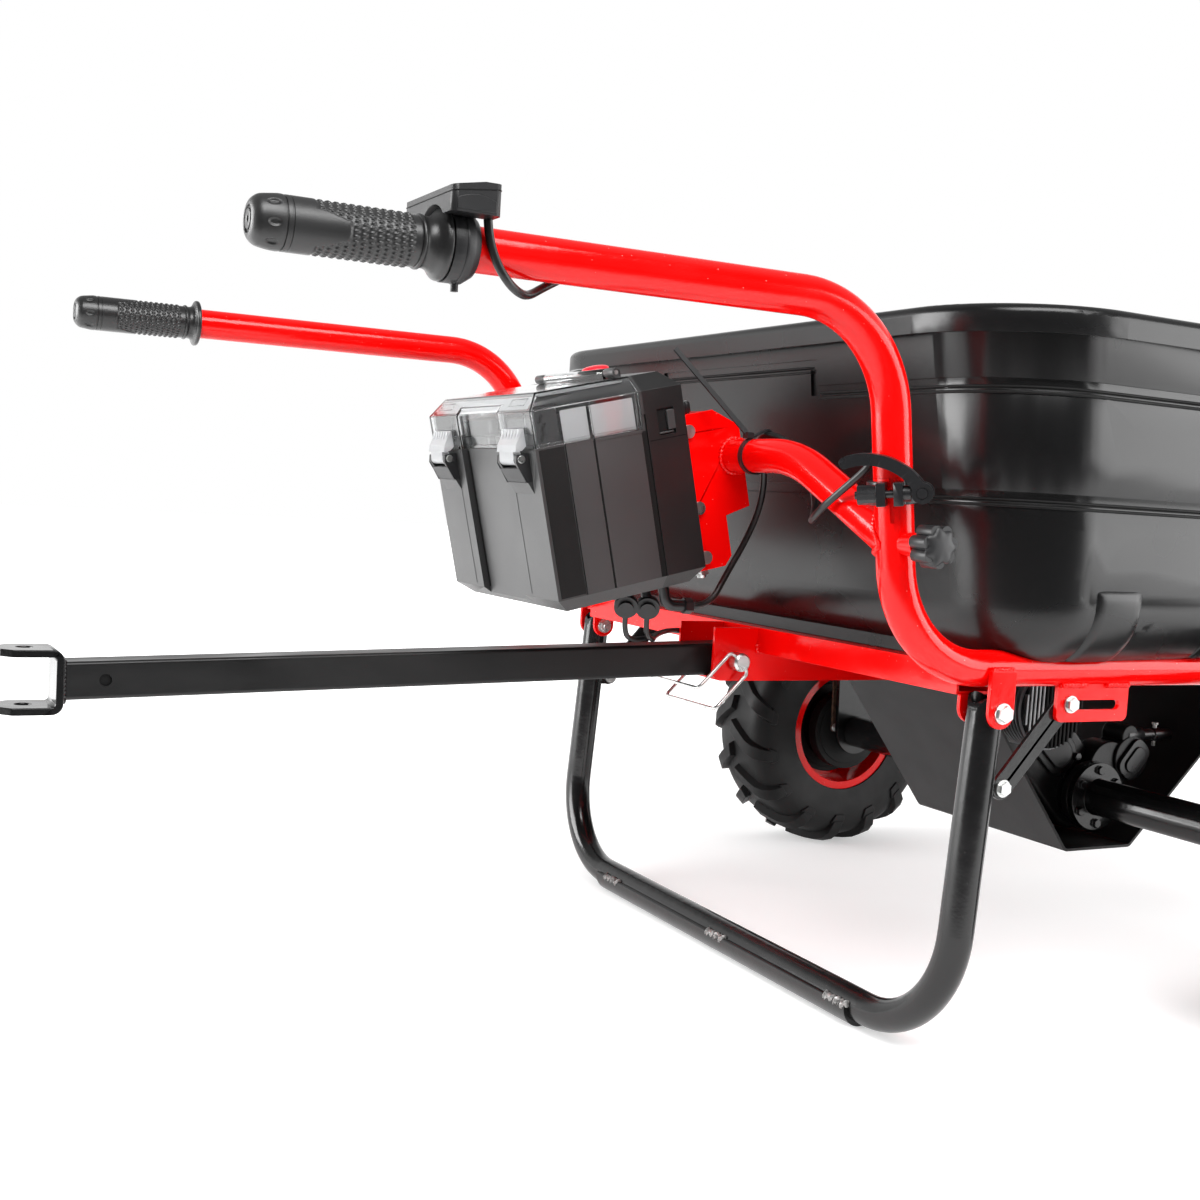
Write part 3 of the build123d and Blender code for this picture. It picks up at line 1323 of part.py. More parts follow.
# Half shaft with the hub, its drum and the wheel studs; distances run outward from the wheel's middle
wheel_point = axle_point - Vector(0, track_half, 0)
shaft_inner = 20.0 - track_half
hub_radius = 40.0
hub_face = 4.0
disc_sheet = 5.0
drum_inner = -46.0
drum_wall = 4.0
stud_ring = 34.0
stud_count = 4
wheel_stud_d = 8.0
with BuildPart() as half_shaft_right:
    add(turned(((shaft_inner, 0), (shaft_inner, shaft_d / 2), (drum_inner, shaft_d / 2),
                (drum_inner, drum_radius), (-hub_face, drum_radius), (-hub_face, drum_radius - drum_wall),
                (drum_inner + drum_wall, drum_radius - drum_wall), (drum_inner + drum_wall, shaft_d / 2 + 5),
                (-hub_face, shaft_d / 2 + 5), (-hub_face, hub_radius), (hub_face, hub_radius),
                (hub_face, shaft_d / 2 - 1), (hub_face + disc_sheet + 12, shaft_d / 2 - 1),
                (hub_face + disc_sheet + 12, 0)),
               wheel_point, (0, -1, 0)))
    with BuildSketch(Plane(wheel_point - Vector(0, hub_face, 0), z_dir=(0, -1, 0))):
        with PolarLocations(stud_ring, stud_count):
            Circle(wheel_stud_d / 2)
    extrude(amount=disc_sheet + 9)
    with BuildSketch(Plane(wheel_point - Vector(0, hub_face + disc_sheet, 0), z_dir=(0, -1, 0))):
        with PolarLocations(stud_ring, stud_count):
            RegularPolygon(7.5, 6)
    extrude(amount=7)
save(half_shaft_right, "half_shaft_right")
save_mirrored(half_shaft_right, "half_shaft_left")

# Rim: pressed barrel with flanges, and a disc with holes
rim_half = 40.0
rim_sheet = 3.5
vent_ring = 56.0
vent_count = 4
vent_d = 18.0
with BuildPart() as rim_right:
    add(turned(((-rim_half - rim_sheet, rim_radius - rim_sheet), (-rim_half - rim_sheet, rim_flange),
                (-rim_half, rim_flange), (-rim_half, rim_radius), (rim_half, rim_radius),
                (rim_half, rim_flange), (rim_half + rim_sheet, rim_flange),
                (rim_half + rim_sheet, rim_radius - rim_sheet)),
               wheel_point, (0, -1, 0)))
    add(turned(((hub_face, shaft_d / 2 - 1), (hub_face + disc_sheet, shaft_d / 2 - 1),
                (hub_face + disc_sheet, rim_radius - rim_sheet / 2), (hub_face, rim_radius - rim_sheet / 2)),
               wheel_point, (0, -1, 0)))
    with BuildSketch(Plane(wheel_point, z_dir=(0, -1, 0))):
        with PolarLocations(stud_ring, stud_count):
            Circle(wheel_stud_d / 2)
        with PolarLocations(vent_ring, vent_count, start_angle=45):
            Circle(vent_d / 2)
    extrude(amount=hub_face + 2 * disc_sheet, mode=Mode.SUBTRACT)
save(rim_right, "rim_right")
save_mirrored(rim_right, "rim_left")

# Tyre: hollow carcass with slanted lugs, the two rows half a pitch apart
tyre_wall = 7.0
bead_half = rim_half - 0.2
tread_radius = tyre_radius - lug_depth
shoulder = tyre_half - 6.0
sidewall_radius = 0.5 * (rim_radius + tread_radius) + 6.0
wheel_frame = Plane(wheel_point, z_dir=(0, -1, 0))
tyre_profile = ((bead_half, rim_radius), (bead_half, rim_flange + 1), (tyre_half - 2, rim_flange + 12),
                (tyre_half, sidewall_radius),
                (shoulder, tread_radius - 6), (shoulder - 8, tread_radius))
inner_profile = ((shoulder - 8, tread_radius - tyre_wall), (tyre_half - tyre_wall, sidewall_radius),
                 (bead_half - tyre_wall, rim_radius))


def flipped(points):
    """The same outline on the other side of the wheel."""
    return tuple((-along, radius) for along, radius in points)


with BuildPart() as tread:
    add(turned(((-shoulder, tread_radius - 3), (-shoulder, tyre_radius - 6), (6 - shoulder, tyre_radius),
                (shoulder - 6, tyre_radius), (shoulder, tyre_radius - 6), (shoulder, tread_radius - 3)),
               wheel_point, (0, -1, 0)))
    for side in (-1, 1):
        with Locations(wheel_frame.offset(side * (tyre_half / 2 + 4))):
            with PolarLocations(tyre_radius, lug_count, start_angle=90 + side * 90 / lug_count):
                Box(2 * lug_depth, lug_gap, tyre_half, rotation=(side * lug_slant, 0, 0), mode=Mode.SUBTRACT)
with BuildPart() as tyre_right:
    add(turned(flipped(tyre_profile) + tyre_profile[::-1] + inner_profile[::-1] + flipped(inner_profile),
               wheel_point, (0, -1, 0)))
    add(tread)
save(tyre_right, "tyre_right")
save_mirrored(tyre_right, "tyre_left")

# Throttle cable on the right handle: out of the control box, round under the tube, then along its
# inner side to the upright
cable_side = half_spacing - tube_r - cable_d / 2 - 0.1
cable_end_height = split_height + 34.0
upper_bend = Vector(stem_at(handle_height), -cable_side, handle_height)


def by_handle(ahead, outward, up):
    """Point near the right handle, from the housing's front end and the tube's axis."""
    return (housing_end + ahead, -half_spacing - outward, handle_height + up)


upper_points = [(housing_end + 4, -half_spacing - 18, panel_low), by_handle(5, 18, 7), by_handle(11, 18, -9),
                by_handle(21, 16.5, -21), by_handle(34, 8, -26), by_handle(46, -4, -24.5),
                by_handle(60, -14, -17), (housing_end + 82, -cable_side, handle_height - 5),
                (housing_end + 112, -cable_side, handle_height),
                upper_bend, (stem_at(cable_end_height), -cable_side, cable_end_height)]
upper_radii = route_radii(upper_points)
upper_radii[-1] = bend_radius
with BuildPart() as throttle_cable_upper:
    add(swept(upper_points, upper_radii, cable_d))
save(throttle_cable_upper, "throttle_cable_upper")

# Throttle cable from the upright, round the arm under its tie, down to the gland
lower_start = cable_end_height - 0.5
leave_height = cable_end_height - 17.0
tie_y = arm_end_y - 32.0


def by_arm(ahead, share, up):
    """Point near the battery arm, with its Y as a share of the way from the tie out to the handle."""
    return (stem_x + ahead, tie_y - share * (cable_side + tie_y), arm_height + up)


def past_tie(ahead, inward, up):
    """Point near the battery arm, inward of the tie."""
    return (stem_x + ahead, tie_y + inward, arm_height + up)


lower_points = [(stem_at(lower_start), -cable_side, lower_start), (stem_at(leave_height), -cable_side, leave_height),
                by_arm(-3, 0.956, -12), by_arm(-10, 0.862, -27), by_arm(-14, 0.752, -42),
                by_arm(-6, 0.619, -53), by_arm(12, 0.492, -53), by_arm(29, 0.381, -40),
                by_arm(37, 0.276, -19), by_arm(37, 0.177, 2), by_arm(29, 0.088, 16),
                past_tie(20, -1, 20), past_tie(24, 17.5, 15.5), past_tie(37, 28, 1),
                past_tie(45, 33, -19), past_tie(46, 40, -48), past_tie(38, 48, -78),
                past_tie(22, 51, -108), (gland_end.X + 20, gland_end.Y, gland_end.Z), gland_end]
with BuildPart() as throttle_cable_lower:
    add(swept(lower_points, route_radii(lower_points), cable_d))
save(throttle_cable_lower, "throttle_cable_lower")
print("throttle cable radii", [round(radius) for radius in upper_radii + route_radii(lower_points)])

# Cable tie round the arm and the cable, with its long tail
tie_width = 5.0
tie_thick = 1.5
tie_cable = (stem_x + 21.3, arm_height + 19.0)
tail_end = Vector(stem_x - 61, tie_y + 29, arm_height + 89)
with BuildPart() as cable_tie:
    with BuildSketch(Plane.XZ.offset(-tie_y)):
        with Locations((arm_x, arm_height)):
            Circle(tube_r + 0.1 + tie_thick)
        with Locations(tie_cable):
            Circle(cable_d / 2 + 0.8 + tie_thick)
        make_hull()
    extrude(amount=tie_width / 2, both=True)
    with BuildSketch(Plane.XZ.offset(-tie_y)):
        with Locations((arm_x, arm_height)):
            Circle(tube_r + 0.1)
        with Locations(tie_cable):
            Circle(cable_d / 2 + 0.8)
        make_hull()
    extrude(amount=tie_width, both=True, mode=Mode.SUBTRACT)
    tail_start = Vector(arm_x - 8, tie_y, arm_height + tube_r + 2.5)
    with BuildSketch(Plane(tail_start, x_dir=(1, 0, 0), z_dir=tail_end - tail_start)):
        Rectangle(tie_width, tie_thick)
    extrude(amount=(tail_end - tail_start).length)
    with Locations(tail_start):
        Box(7, 7, 5)
    with BuildSketch(Plane.XZ.offset(-tie_y)):
        with Locations((arm_x, arm_height)):
            Circle(tube_r + 0.1)
    extrude(amount=2 * tie_width, both=True, mode=Mode.SUBTRACT)
save(cable_tie, "cable_tie")

# Motor leads from the sockets, past the hitch and under the rear beam to the motor's terminal box
terminal_face = motor_x - terminal_size[0] / 2
lead_gap = 9.0


def by_beam(ahead, aside, down):
    """Point near the hitch and the rear beam, down from the tub's floor."""
    return (stem_x + ahead, aside, beam_top - down)


with BuildPart() as motor_leads:
    for (socket_x, socket_z), shift in zip(socket_places, (0.0, lead_gap)):
        out = box_point(socket_x, socket_y, socket_z) + socket_down * (socket_d / 2 + 0.3)
        below = out + socket_down * lead_drop
        end_y = terminal_y + shift - lead_gap / 2
        lead_points = [out, below, (below.X + 20, below.Y + 20, beam_top - 13.5),
                       by_beam(shift - 14, shift - 16, 12.5), by_beam(shift + 14, shift + 16, 11),
                       by_beam(shift + 44, shift / 4 + 41, 10.5), by_beam(shift + 74, shift + 42, 15.5),
                       by_beam(shift / 2 + 90, shift + 44, 28.5), by_beam(116, shift + 46, 32.5),
                       by_beam(150, shift + 44, 28.5), by_beam(200, shift + 32, 17.5),
                       by_beam(250, shift, 13.5), (terminal_face - 102, end_y + 40, beam_top - 14.5),
                       (terminal_face - 58, end_y + 11, beam_top - 20.5),
                       (terminal_face - 26, end_y, terminal_z), (terminal_face, end_y, terminal_z)]
        add(swept(lead_points, route_radii(lead_points), lead_d))
        print("motor lead radii", [round(radius) for radius in route_radii(lead_points)])
save(motor_leads, "motor_leads")
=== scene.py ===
import json
import math

import bmesh
import bpy
from mathutils import Matrix, Vector
from mathutils.bvhtree import BVHTree


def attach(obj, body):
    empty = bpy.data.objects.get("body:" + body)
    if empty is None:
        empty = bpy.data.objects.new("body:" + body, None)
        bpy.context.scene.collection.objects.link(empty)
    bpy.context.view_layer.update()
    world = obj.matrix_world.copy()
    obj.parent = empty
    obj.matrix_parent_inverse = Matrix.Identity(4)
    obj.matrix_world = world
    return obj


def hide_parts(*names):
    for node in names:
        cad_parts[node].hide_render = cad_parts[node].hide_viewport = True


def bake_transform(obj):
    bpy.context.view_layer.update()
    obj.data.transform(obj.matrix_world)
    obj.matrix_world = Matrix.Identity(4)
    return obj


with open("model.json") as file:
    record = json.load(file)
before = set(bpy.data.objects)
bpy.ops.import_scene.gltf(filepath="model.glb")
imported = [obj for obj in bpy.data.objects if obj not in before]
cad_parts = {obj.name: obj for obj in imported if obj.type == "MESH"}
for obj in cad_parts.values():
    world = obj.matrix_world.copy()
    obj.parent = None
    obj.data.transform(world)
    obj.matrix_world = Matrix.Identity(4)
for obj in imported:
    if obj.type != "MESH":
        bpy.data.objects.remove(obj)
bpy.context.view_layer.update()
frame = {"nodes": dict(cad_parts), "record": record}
nodes = frame["nodes"]
scene = bpy.context.scene

# Main places of the barrow, in metres, as in the part's source
STEM_X = -0.165
STEM_LEAN = math.radians(7.6)
HALF = 0.334
HANDLE_Z = 0.605
AXLE_X = STEM_X + 0.515
WHEEL_Z = 0.158
TRACK = 0.398
BOX_PLACE = (Matrix.Translation((STEM_X - 0.0927, -0.008, 0.365))
             @ Matrix.Rotation(math.radians(-13.5), 4, "Y"))
BOX_HALF = 0.112
BOX_REAR = 0.074
FORE, TO_LEFT, UP = Vector((1, 0, 0)), Vector((0, 1, 0)), Vector((0, 0, 1))
BOTH = (("right", -1), ("left", 1))

# Star knobs and the battery arm's foot: millimetres ahead of the uprights, and height
KNOB_HEIGHT = 428
KNOB_AHEAD = (504 - KNOB_HEIGHT) * math.tan(STEM_LEAN)


def near(x, y, z):
    """Point in metres from millimetres ahead of the uprights, to the left and up."""
    return Vector((STEM_X + x / 1000, y / 1000, z / 1000))


def axes(u, v, w, at=(0, 0, 0)):
    """Frame with the given directions for its three axes, at a point in metres."""
    return Matrix.Translation(at) @ Matrix((u, v, w)).transposed().to_4x4()


def side_frame(y):
    """Frame on a plane along the barrow: ahead of the uprights, up, and out to the right."""
    return axes(FORE, UP, -TO_LEFT, (STEM_X, y, 0))


def bar_height(x):
    """Height of the tow bar's middle line, in millimetres."""
    return 298.4 + (x - 72) * math.tan(math.radians(1.8))


# Materials

def wire(tree, kind, values, **settings):
    """New shader node with its settings, whose inputs are links or plain values."""
    node = tree.nodes.new(kind)
    for key, value in settings.items():
        setattr(node, key, value)
    for key, value in values.items():
        if isinstance(value, bpy.types.NodeSocket):
            tree.links.new(value, node.inputs[key])
        else:
            node.inputs[key].default_value = value
    return node


def along_axis(tree, vector, axis):
    """Length of a vector along an axis."""
    return wire(tree, "ShaderNodeVectorMath", {0: vector, 1: axis}, operation="DOT_PRODUCT").outputs["Value"]


WAVE_DEPTH = 0.01
GRAIN_DEPTH = 0.0004
SPLIT_WIDTH = 0.0004
SPECK = 0.03


def material(name, colour, rough, metal=0.0, spec=0.5, transmission=0.0, ior=1.5, vary=0.0, vary_scale=6.0,
             rough_vary=0.0, rough_scale=14.0, grain=0.0, grain_scale=900.0, wave=0.0, wave_scale=18.0,
             speck=None, speck_scale=260.0, stretch=(1, 1, 1), split=None):
    """Principled material whose colour, roughness and bump vary over the surface.

    A split is an axis, the distance along it where a second colour starts, and that colour.
    """
    made = bpy.data.materials.new(name)
    made.use_nodes = True
    tree = made.node_tree
    shader = tree.nodes["Principled BSDF"]
    for key, value in (("Base Color", (*colour, 1)), ("Roughness", rough), ("Metallic", metal),
                       ("Specular IOR Level", spec), ("Transmission Weight", transmission), ("IOR", ior)):
        shader.inputs[key].default_value = value
    spot = tree.nodes.new("ShaderNodeTexCoord").outputs["Object"]
    shaped = wire(tree, "ShaderNodeMapping", {"Scale": stretch, "Vector": spot}).outputs["Vector"]

    def noise(scale, detail):
        values = {"Scale": scale, "Detail": detail, "Vector": shaped}
        return wire(tree, "ShaderNodeTexNoise", values).outputs["Fac"]

    def spread(fac, low, high, start=0.3, end=0.7):
        values = {"From Min": start, "From Max": end, "To Min": low, "To Max": high, "Value": fac}
        return wire(tree, "ShaderNodeMapRange", values).outputs["Result"]

    def mixed(fac, first, second):
        first, second = ((*c, 1) if isinstance(c, tuple) else c for c in (first, second))
        return wire(tree, "ShaderNodeMix", {0: fac, 6: first, 7: second}, data_type="RGBA").outputs[2]

    shade = colour
    if vary:
        shade = mixed(spread(noise(vary_scale, 5), 0, 1), tuple(c * (1 - vary) for c in colour),
                      tuple(min(1, c * (1 + vary)) for c in colour))
    if speck:
        spots = wire(tree, "ShaderNodeTexVoronoi", {"Scale": speck_scale, "Vector": shaped})
        shade = mixed(spread(spots.outputs["Distance"], 1, 0, SPECK, 2 * SPECK), shade, speck)
    if split:
        axis, start, second = split
        shade = mixed(spread(along_axis(tree, spot, axis), 0, 1, start, start + SPLIT_WIDTH), shade, second)
    if shade is not colour:
        tree.links.new(shade, shader.inputs["Base Color"])
    if rough_vary:
        tree.links.new(spread(noise(rough_scale, 6), rough - rough_vary, rough + rough_vary),
                       shader.inputs["Roughness"])
    normal = None
    bumps = ((wave, wave_scale, 2, WAVE_DEPTH), (grain, grain_scale, 3, GRAIN_DEPTH))
    for height, scale, detail, depth in bumps:
        if height:
            bump = wire(tree, "ShaderNodeBump",
                        {"Strength": height, "Distance": depth, "Height": noise(scale, detail)})
            if normal:
                tree.links.new(normal, bump.inputs["Normal"])
            normal = bump.outputs["Normal"]
    if normal:
        tree.links.new(normal, shader.inputs["Normal"])
    return made


# The battery box's fixed cap is a blacker plastic than the rest, made darker still as painted shade for the
# dark reflection on its side
BOX_FORE = BOX_PLACE.to_3x3() @ FORE
CAP_SHADE_SPLIT = (BOX_FORE, BOX_PLACE.translation.dot(BOX_FORE) + 0.0335, (0.008, 0.008, 0.0082))
BOX_GREY = (0.034, 0.0342, 0.0346)
BOX_LOOK = dict(vary=0.15, rough_vary=0.05, grain=0.25, grain_scale=1600)

# Looks of the record's slots, and then of single pieces: colour, roughness and the rest
LOOKS = {name: material(name, colour, rough, **more) for name, colour, rough, more in (
    ("red_paint", (0.84, 0.0012, 0.0009), 0.14,
     dict(spec=0.33, vary=0.04, rough_vary=0.05, grain=0.10, grain_scale=420, wave=0.025, wave_scale=60,
          speck=(0.9, 0.35, 0.33), speck_scale=150)),
    ("black_paint", (0.005, 0.005, 0.0052), 0.19,
     dict(spec=0.45, vary=0.2, rough_vary=0.06, grain=0.14, grain_scale=380, wave=0.03, wave_scale=50,
          speck=(0.05, 0.05, 0.05), speck_scale=140)),
    ("tub_plastic", (0.005, 0.005, 0.0052), 0.27,
     dict(spec=0.38, vary=0.2, vary_scale=3, rough_vary=0.05, rough_scale=5, grain=0.08, grain_scale=1400,
          wave=0.05, wave_scale=6)),
    ("box_plastic", BOX_GREY, 0.36, BOX_LOOK),
    ("clear_plastic", (0.90, 0.91, 0.915), 0.06,
     dict(transmission=1.0, ior=1.47, rough_vary=0.03, wave=0.02, wave_scale=40)),
    ("black_plastic", (0.012, 0.012, 0.013), 0.42,
     dict(spec=0.45, vary=0.15, rough_vary=0.06, grain=0.2, grain_scale=1500)),
    ("grip_rubber", (0.013, 0.013, 0.0133), 0.33,
     dict(spec=0.6, vary=0.2, rough_vary=0.08, grain=0.2, grain_scale=1800)),
    ("cable_jacket", (0.008, 0.008, 0.008), 0.34, dict(spec=0.45, vary=0.1, rough_vary=0.06, grain=0.15)),
    ("black_metal", (0.009, 0.009, 0.010), 0.30,
     dict(vary=0.2, rough_vary=0.08, grain=0.2, grain_scale=700)),
    ("zinc", (0.62, 0.63, 0.62), 0.32,
     dict(metal=1.0, vary=0.12, vary_scale=60, rough_vary=0.10, rough_scale=90, grain=0.1,
          grain_scale=1200)),
    ("cast_housing", (0.007, 0.007, 0.0075), 0.40,
     dict(spec=0.35, vary=0.3, rough_vary=0.1, grain=0.5, grain_scale=500)),
    ("motor_alloy", (0.30, 0.305, 0.31), 0.40,
     dict(metal=1.0, vary=0.15, vary_scale=40, rough_vary=0.1, grain=0.3, grain_scale=700)),
    ("tyre_rubber", (0.0075, 0.0075, 0.0077), 0.55,
     dict(spec=0.25, vary=0.3, vary_scale=22, rough_vary=0.1, rough_scale=30, grain=0.35)),
    ("red_plastic", (0.72, 0.008, 0.020), 0.28, dict(spec=0.45, vary=0.05, rough_vary=0.05, grain=0.05)),
    ("frosted_clear", (0.70, 0.705, 0.71), 0.42,
     dict(transmission=0.35, ior=1.4, rough_vary=0.08, grain=0.1, grain_scale=500)),
    ("hazed_clear", (0.30, 0.305, 0.31), 0.46,
     dict(transmission=0.3, ior=1.4, vary=0.15, rough_vary=0.08, grain=0.1, grain_scale=500)),
    ("latch_clear", (0.62, 0.63, 0.64), 0.32,
     dict(transmission=0.6, ior=1.45, rough_vary=0.08, grain=0.1, grain_scale=600)),
    # Cap darker than the rest of the box: a blacker plastic, and painted shade
    ("box_two_tone_shade", BOX_GREY, 0.36, dict(BOX_LOOK, split=CAP_SHADE_SPLIT)),
    ("guard_paint", (0.016, 0.016, 0.0164), 0.50,
     dict(spec=0.26, vary=0.18, vary_scale=14, rough_vary=0.08, grain=0.3, grain_scale=520,
          speck=(0.05, 0.048, 0.045), speck_scale=90)),
    ("bar_paint", (0.006, 0.006, 0.0062), 0.38,
     dict(spec=0.36, vary=0.3, vary_scale=30, rough_vary=0.10, rough_scale=40, grain=0.16, grain_scale=380,
          stretch=(0.3, 1, 1))),
    ("dull_black", (0.004, 0.004, 0.004), 0.6, dict(spec=0.2, vary=0.3, rough_vary=0.1, grain=0.2)),
    ("stripe_black", (0.006, 0.006, 0.006), 0.62,
     dict(spec=0.22, vary=0.2, rough_vary=0.06, grain=0.4, grain_scale=1800)),
    ("weld_grey", (0.30, 0.295, 0.29), 0.38,
     dict(metal=0.6, vary=0.5, vary_scale=400, rough_vary=0.15, rough_scale=300, grain=0.5)),
    ("worn_steel", (0.10, 0.055, 0.035), 0.55,
     dict(metal=0.3, vary=0.6, vary_scale=180, rough_vary=0.15, rough_scale=120, grain=0.5)),
)}
for part in frame["record"]["subparts"]:
    mesh = nodes[part["node"]].data
    mesh.materials.clear()
    mesh.materials.append(LOOKS[part["material_slot"]])
for name, look in (("belly_guard", "guard_paint"), ("tow_bar", "bar_paint"), ("cable_gland", "black_metal"),
                   ("battery_box", "box_two_tone_shade"), ("latch_right", "latch_clear"),
                   ("latch_left", "latch_clear")):
    nodes[name].data.materials[0] = LOOKS[look]


# Ways to make pieces

def soften(piece, width, angle, harden=False):
    """Rounded edges of a width in millimetres where faces meet at more than an angle in degrees."""
    edge = piece.modifiers.new("bevel", "BEVEL")
    edge.width = width / 1000
    edge.segments = 2
    edge.limit_method = "ANGLE"
    edge.angle_limit = math.radians(angle)
    edge.harden_normals = harden


def add_piece(name, verts, faces, look, body, sharp=40, bevel=0.0):
    """Mesh piece with one look that rides on a body."""
    mesh = bpy.data.meshes.new(name)
    mesh.from_pydata([tuple(v) for v in verts], [], faces)
    shell = bmesh.new()
    shell.from_mesh(mesh)
    bmesh.ops.remove_doubles(shell, verts=shell.verts, dist=1e-6)
    bmesh.ops.recalc_face_normals(shell, faces=shell.faces)
    for face in shell.faces:
        face.smooth = True
    shell.to_mesh(mesh)
    shell.free()
    mesh.set_sharp_from_angle(angle=math.radians(sharp))
    mesh.materials.append(LOOKS[look])
    made = bpy.data.objects.new(name, mesh)
    scene.collection.objects.link(made)
    if bevel:
        soften(made, bevel, 35)
    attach(made, body)
    return made


def prisms(name, plates, look, body, bevel=0.3):
    """Flat plates, each an outline in millimetres pushed from low to high along its frame's third axis."""
    verts, faces = [], []
    for outline, low, high, place in plates:
        start, count = len(verts), len(outline)
        verts += [place @ (Vector((u, v, w)) / 1000) for w in (low, high) for u, v in outline]
        faces.append(tuple(start + i for i in range(count))[::-1])
        faces.append(tuple(start + count + i for i in range(count)))
        faces += grid_faces(2, count, start)
    return add_piece(name, verts, faces, look, body, bevel=bevel)


def oblong(u, v, width, height, corner=0.0, steps=4, turn=0.0):
    """Outline of a rectangle about a middle, with rounded corners where asked."""
    points = []
    for sx, sy, start in ((1, 1, 0), (-1, 1, 90), (-1, -1, 180), (1, -1, 270)):
        if not corner:
            points.append((sx * width / 2, sy * height / 2))
            continue
        for i in range(steps + 1):
            angle = math.radians(start + 90 * i / steps)
            points.append((sx * (width / 2 - corner) + corner * math.cos(angle),
                           sy * (height / 2 - corner) + corner * math.sin(angle)))
    c, s = math.cos(math.radians(turn)), math.sin(math.radians(turn))
    return [(u + c * a - s * b, v + s * a + c * b) for a, b in points]


def disc(u, v, radius, sides=20):
    """Outline of a circle or regular polygon."""
    angles = [2 * math.pi * i / sides for i in range(sides)]
    return [(u + radius * math.cos(angle), v + radius * math.sin(angle)) for angle in angles]


def grid_faces(rows, columns, start=0, closed=True):
    """Four-sided faces between rows of points, each row running on to its own start where closed."""
    faces = []
    for i in range(rows - 1):
        for k in range(columns if closed else columns - 1):
            a, b = start + i * columns + k, start + i * columns + (k + 1) % columns
            faces.append((a, b, b + columns, a + columns))
    return faces


def turned_grid(name, rows, turns, place, look, body, shape=None, sharp=40):
    """Turned piece from (along, radius) rows in millimetres; shape gives a change of radius."""
    verts = []
    for along, radius in rows:
        for k in range(turns):
            angle = 2 * math.pi * k / turns
            r = max(0.0, radius + (shape(along, angle, radius) if shape else 0.0))
            verts.append(place @ (Vector((along, r * math.cos(angle), r * math.sin(angle))) / 1000))
    return add_piece(name, verts, grid_faces(len(rows), turns), look, body, sharp=sharp)


def bead(points, radius, sides=8, ripple=0.0, pitch=0.004, up=None):
    """Vertices and faces of a round bar along points in metres, with rippled thickness where asked.

    A bar that turns sharply in one plane takes up, the direction across that plane.
    """
    verts = []
    run = 0.0
    for i, point in enumerate(points):
        ahead = (points[min(i + 1, len(points) - 1)] - points[max(i - 1, 0)]).normalized()
        if i == 0:
            first = up or ahead.orthogonal()
        else:
            run += (point - points[i - 1]).length
        first = (first - ahead * first.dot(ahead)).normalized()
        second = ahead.cross(first)
        r = radius * (1 + ripple * math.sin(2 * math.pi * run / pitch))
        if i in (0, len(points) - 1):
            r *= 0.55
        for k in range(sides):
            angle = 2 * math.pi * k / sides
            verts.append(point + r * (math.cos(angle) * first + math.sin(angle) * second))
    faces = grid_faces(len(points), sides)
    faces.append(tuple(range(sides))[::-1])
    faces.append(tuple(len(verts) - sides + k for k in range(sides)))
    return verts, faces


def bars(name, lines, radius, look, body, **form):
    """Round bars along lines of points, as one piece."""
    verts, faces = [], []
    for line in lines:
        more, sides = bead(line, radius, **form)
        faces += [tuple(len(verts) + i for i in face) for face in sides]
        verts += more
    return add_piece(name, verts, faces, look, body, sharp=60)


def even(line, step, fit=round):
    """Line with points about a step apart; fit makes the count of steps in a run whole."""
    points = [line[0]]
    for a, b in zip(line, line[1:]):
        count = max(1, fit((b - a).length / step))
        points += [a.lerp(b, i / count) for i in range(1, count + 1)]
    return points


def beads(name, lines, radius, look, body, ripple=0.18, pitch=0.0035, step=0.0009):
    """Weld beads along lines of points, as one piece."""
    return bars(name, [even(line, step) for line in lines], radius, look, body, ripple=ripple, pitch=pitch)


def both_sides(lines):
    """Lines of points, and their twins on the other side of the barrow."""
    return lines + [[Vector((p.x, -p.y, p.z)) for p in line] for line in lines]


# Softly broken edges of the nodes, by their width in millimetres
EDGES = {0.4: "latch_right latch_left motor", 0.45: "strut_bolts bracket_bolts",
         0.5: "belly_guard box_lid stand_bolts hitch_pin tub_bolts",
         0.6: "battery_bracket hitch_bracket struts axle_tubes",
         0.7: "stand_brackets slot_brackets clamp_right clamp_left axle_hangers",
         0.8: "control_box gearbox throttle_housing lead_sockets", 0.9: "battery_box clevis",
         1.0: "cam_lever_right cam_lever_left", 1.2: "rear_beam front_beam battery_packs", 1.3: "tub",
         1.8: "star_knob_right star_knob_left"}
for width, names in EDGES.items():
    for name in names.split():
        weld = nodes[name].modifiers.new("weld", "WELD")
        weld.merge_threshold = 0.00002
        soften(nodes[name], width, 38, harden=True)

# Cords, on the routes of the part's source

UPPER = [(-516, -352, 621.8), (-515, -352, 612), (-509, -352, 596), (-499, -350.5, 584), (-486, -342, 579),
         (-474, -330, 580.5), (-460, -320, 588), (-438, -315.9, 600), (-408, -315.9, 605),
         (-272, -315.9, 605), (-178.48, -315.9, 605), (-166.07, -315.9, 512)]
LOWER = [(-166, -315.9, 511.5), (-163.8, -315.9, 495), (-168, -307.94, 482), (-175, -290.94, 467),
         (-179, -271.04, 452), (-171, -246.98, 441), (-153, -224, 441), (-136, -203.92, 454),
         (-128, -184.93, 475), (-128, -167.02, 496), (-136, -150.92, 510), (-145, -136, 514),
         (-141, -117.5, 509.5), (-128, -107, 495), (-120, -102, 475), (-119, -95, 446), (-127, -87, 416),
         (-143, -84, 386), (-163.27, -90, 356.06), (-183.27, -90, 356.06)]
LEAD_A = [(-234.01, -60.78, 342.42), (-230.68, -54.44, 327.01), (-210.68, -34.44, 318), (-179, -16, 319),
          (-151, 16, 320.5), (-121, 41, 321), (-91, 42, 316), (-75, 44, 303), (-49, 46, 299), (-15, 44, 303),
          (35, 32, 314), (85, 0, 318), (133, -44.5, 317), (177, -73.5, 311), (209, -84.5, 306),
          (235, -84.5, 306)]
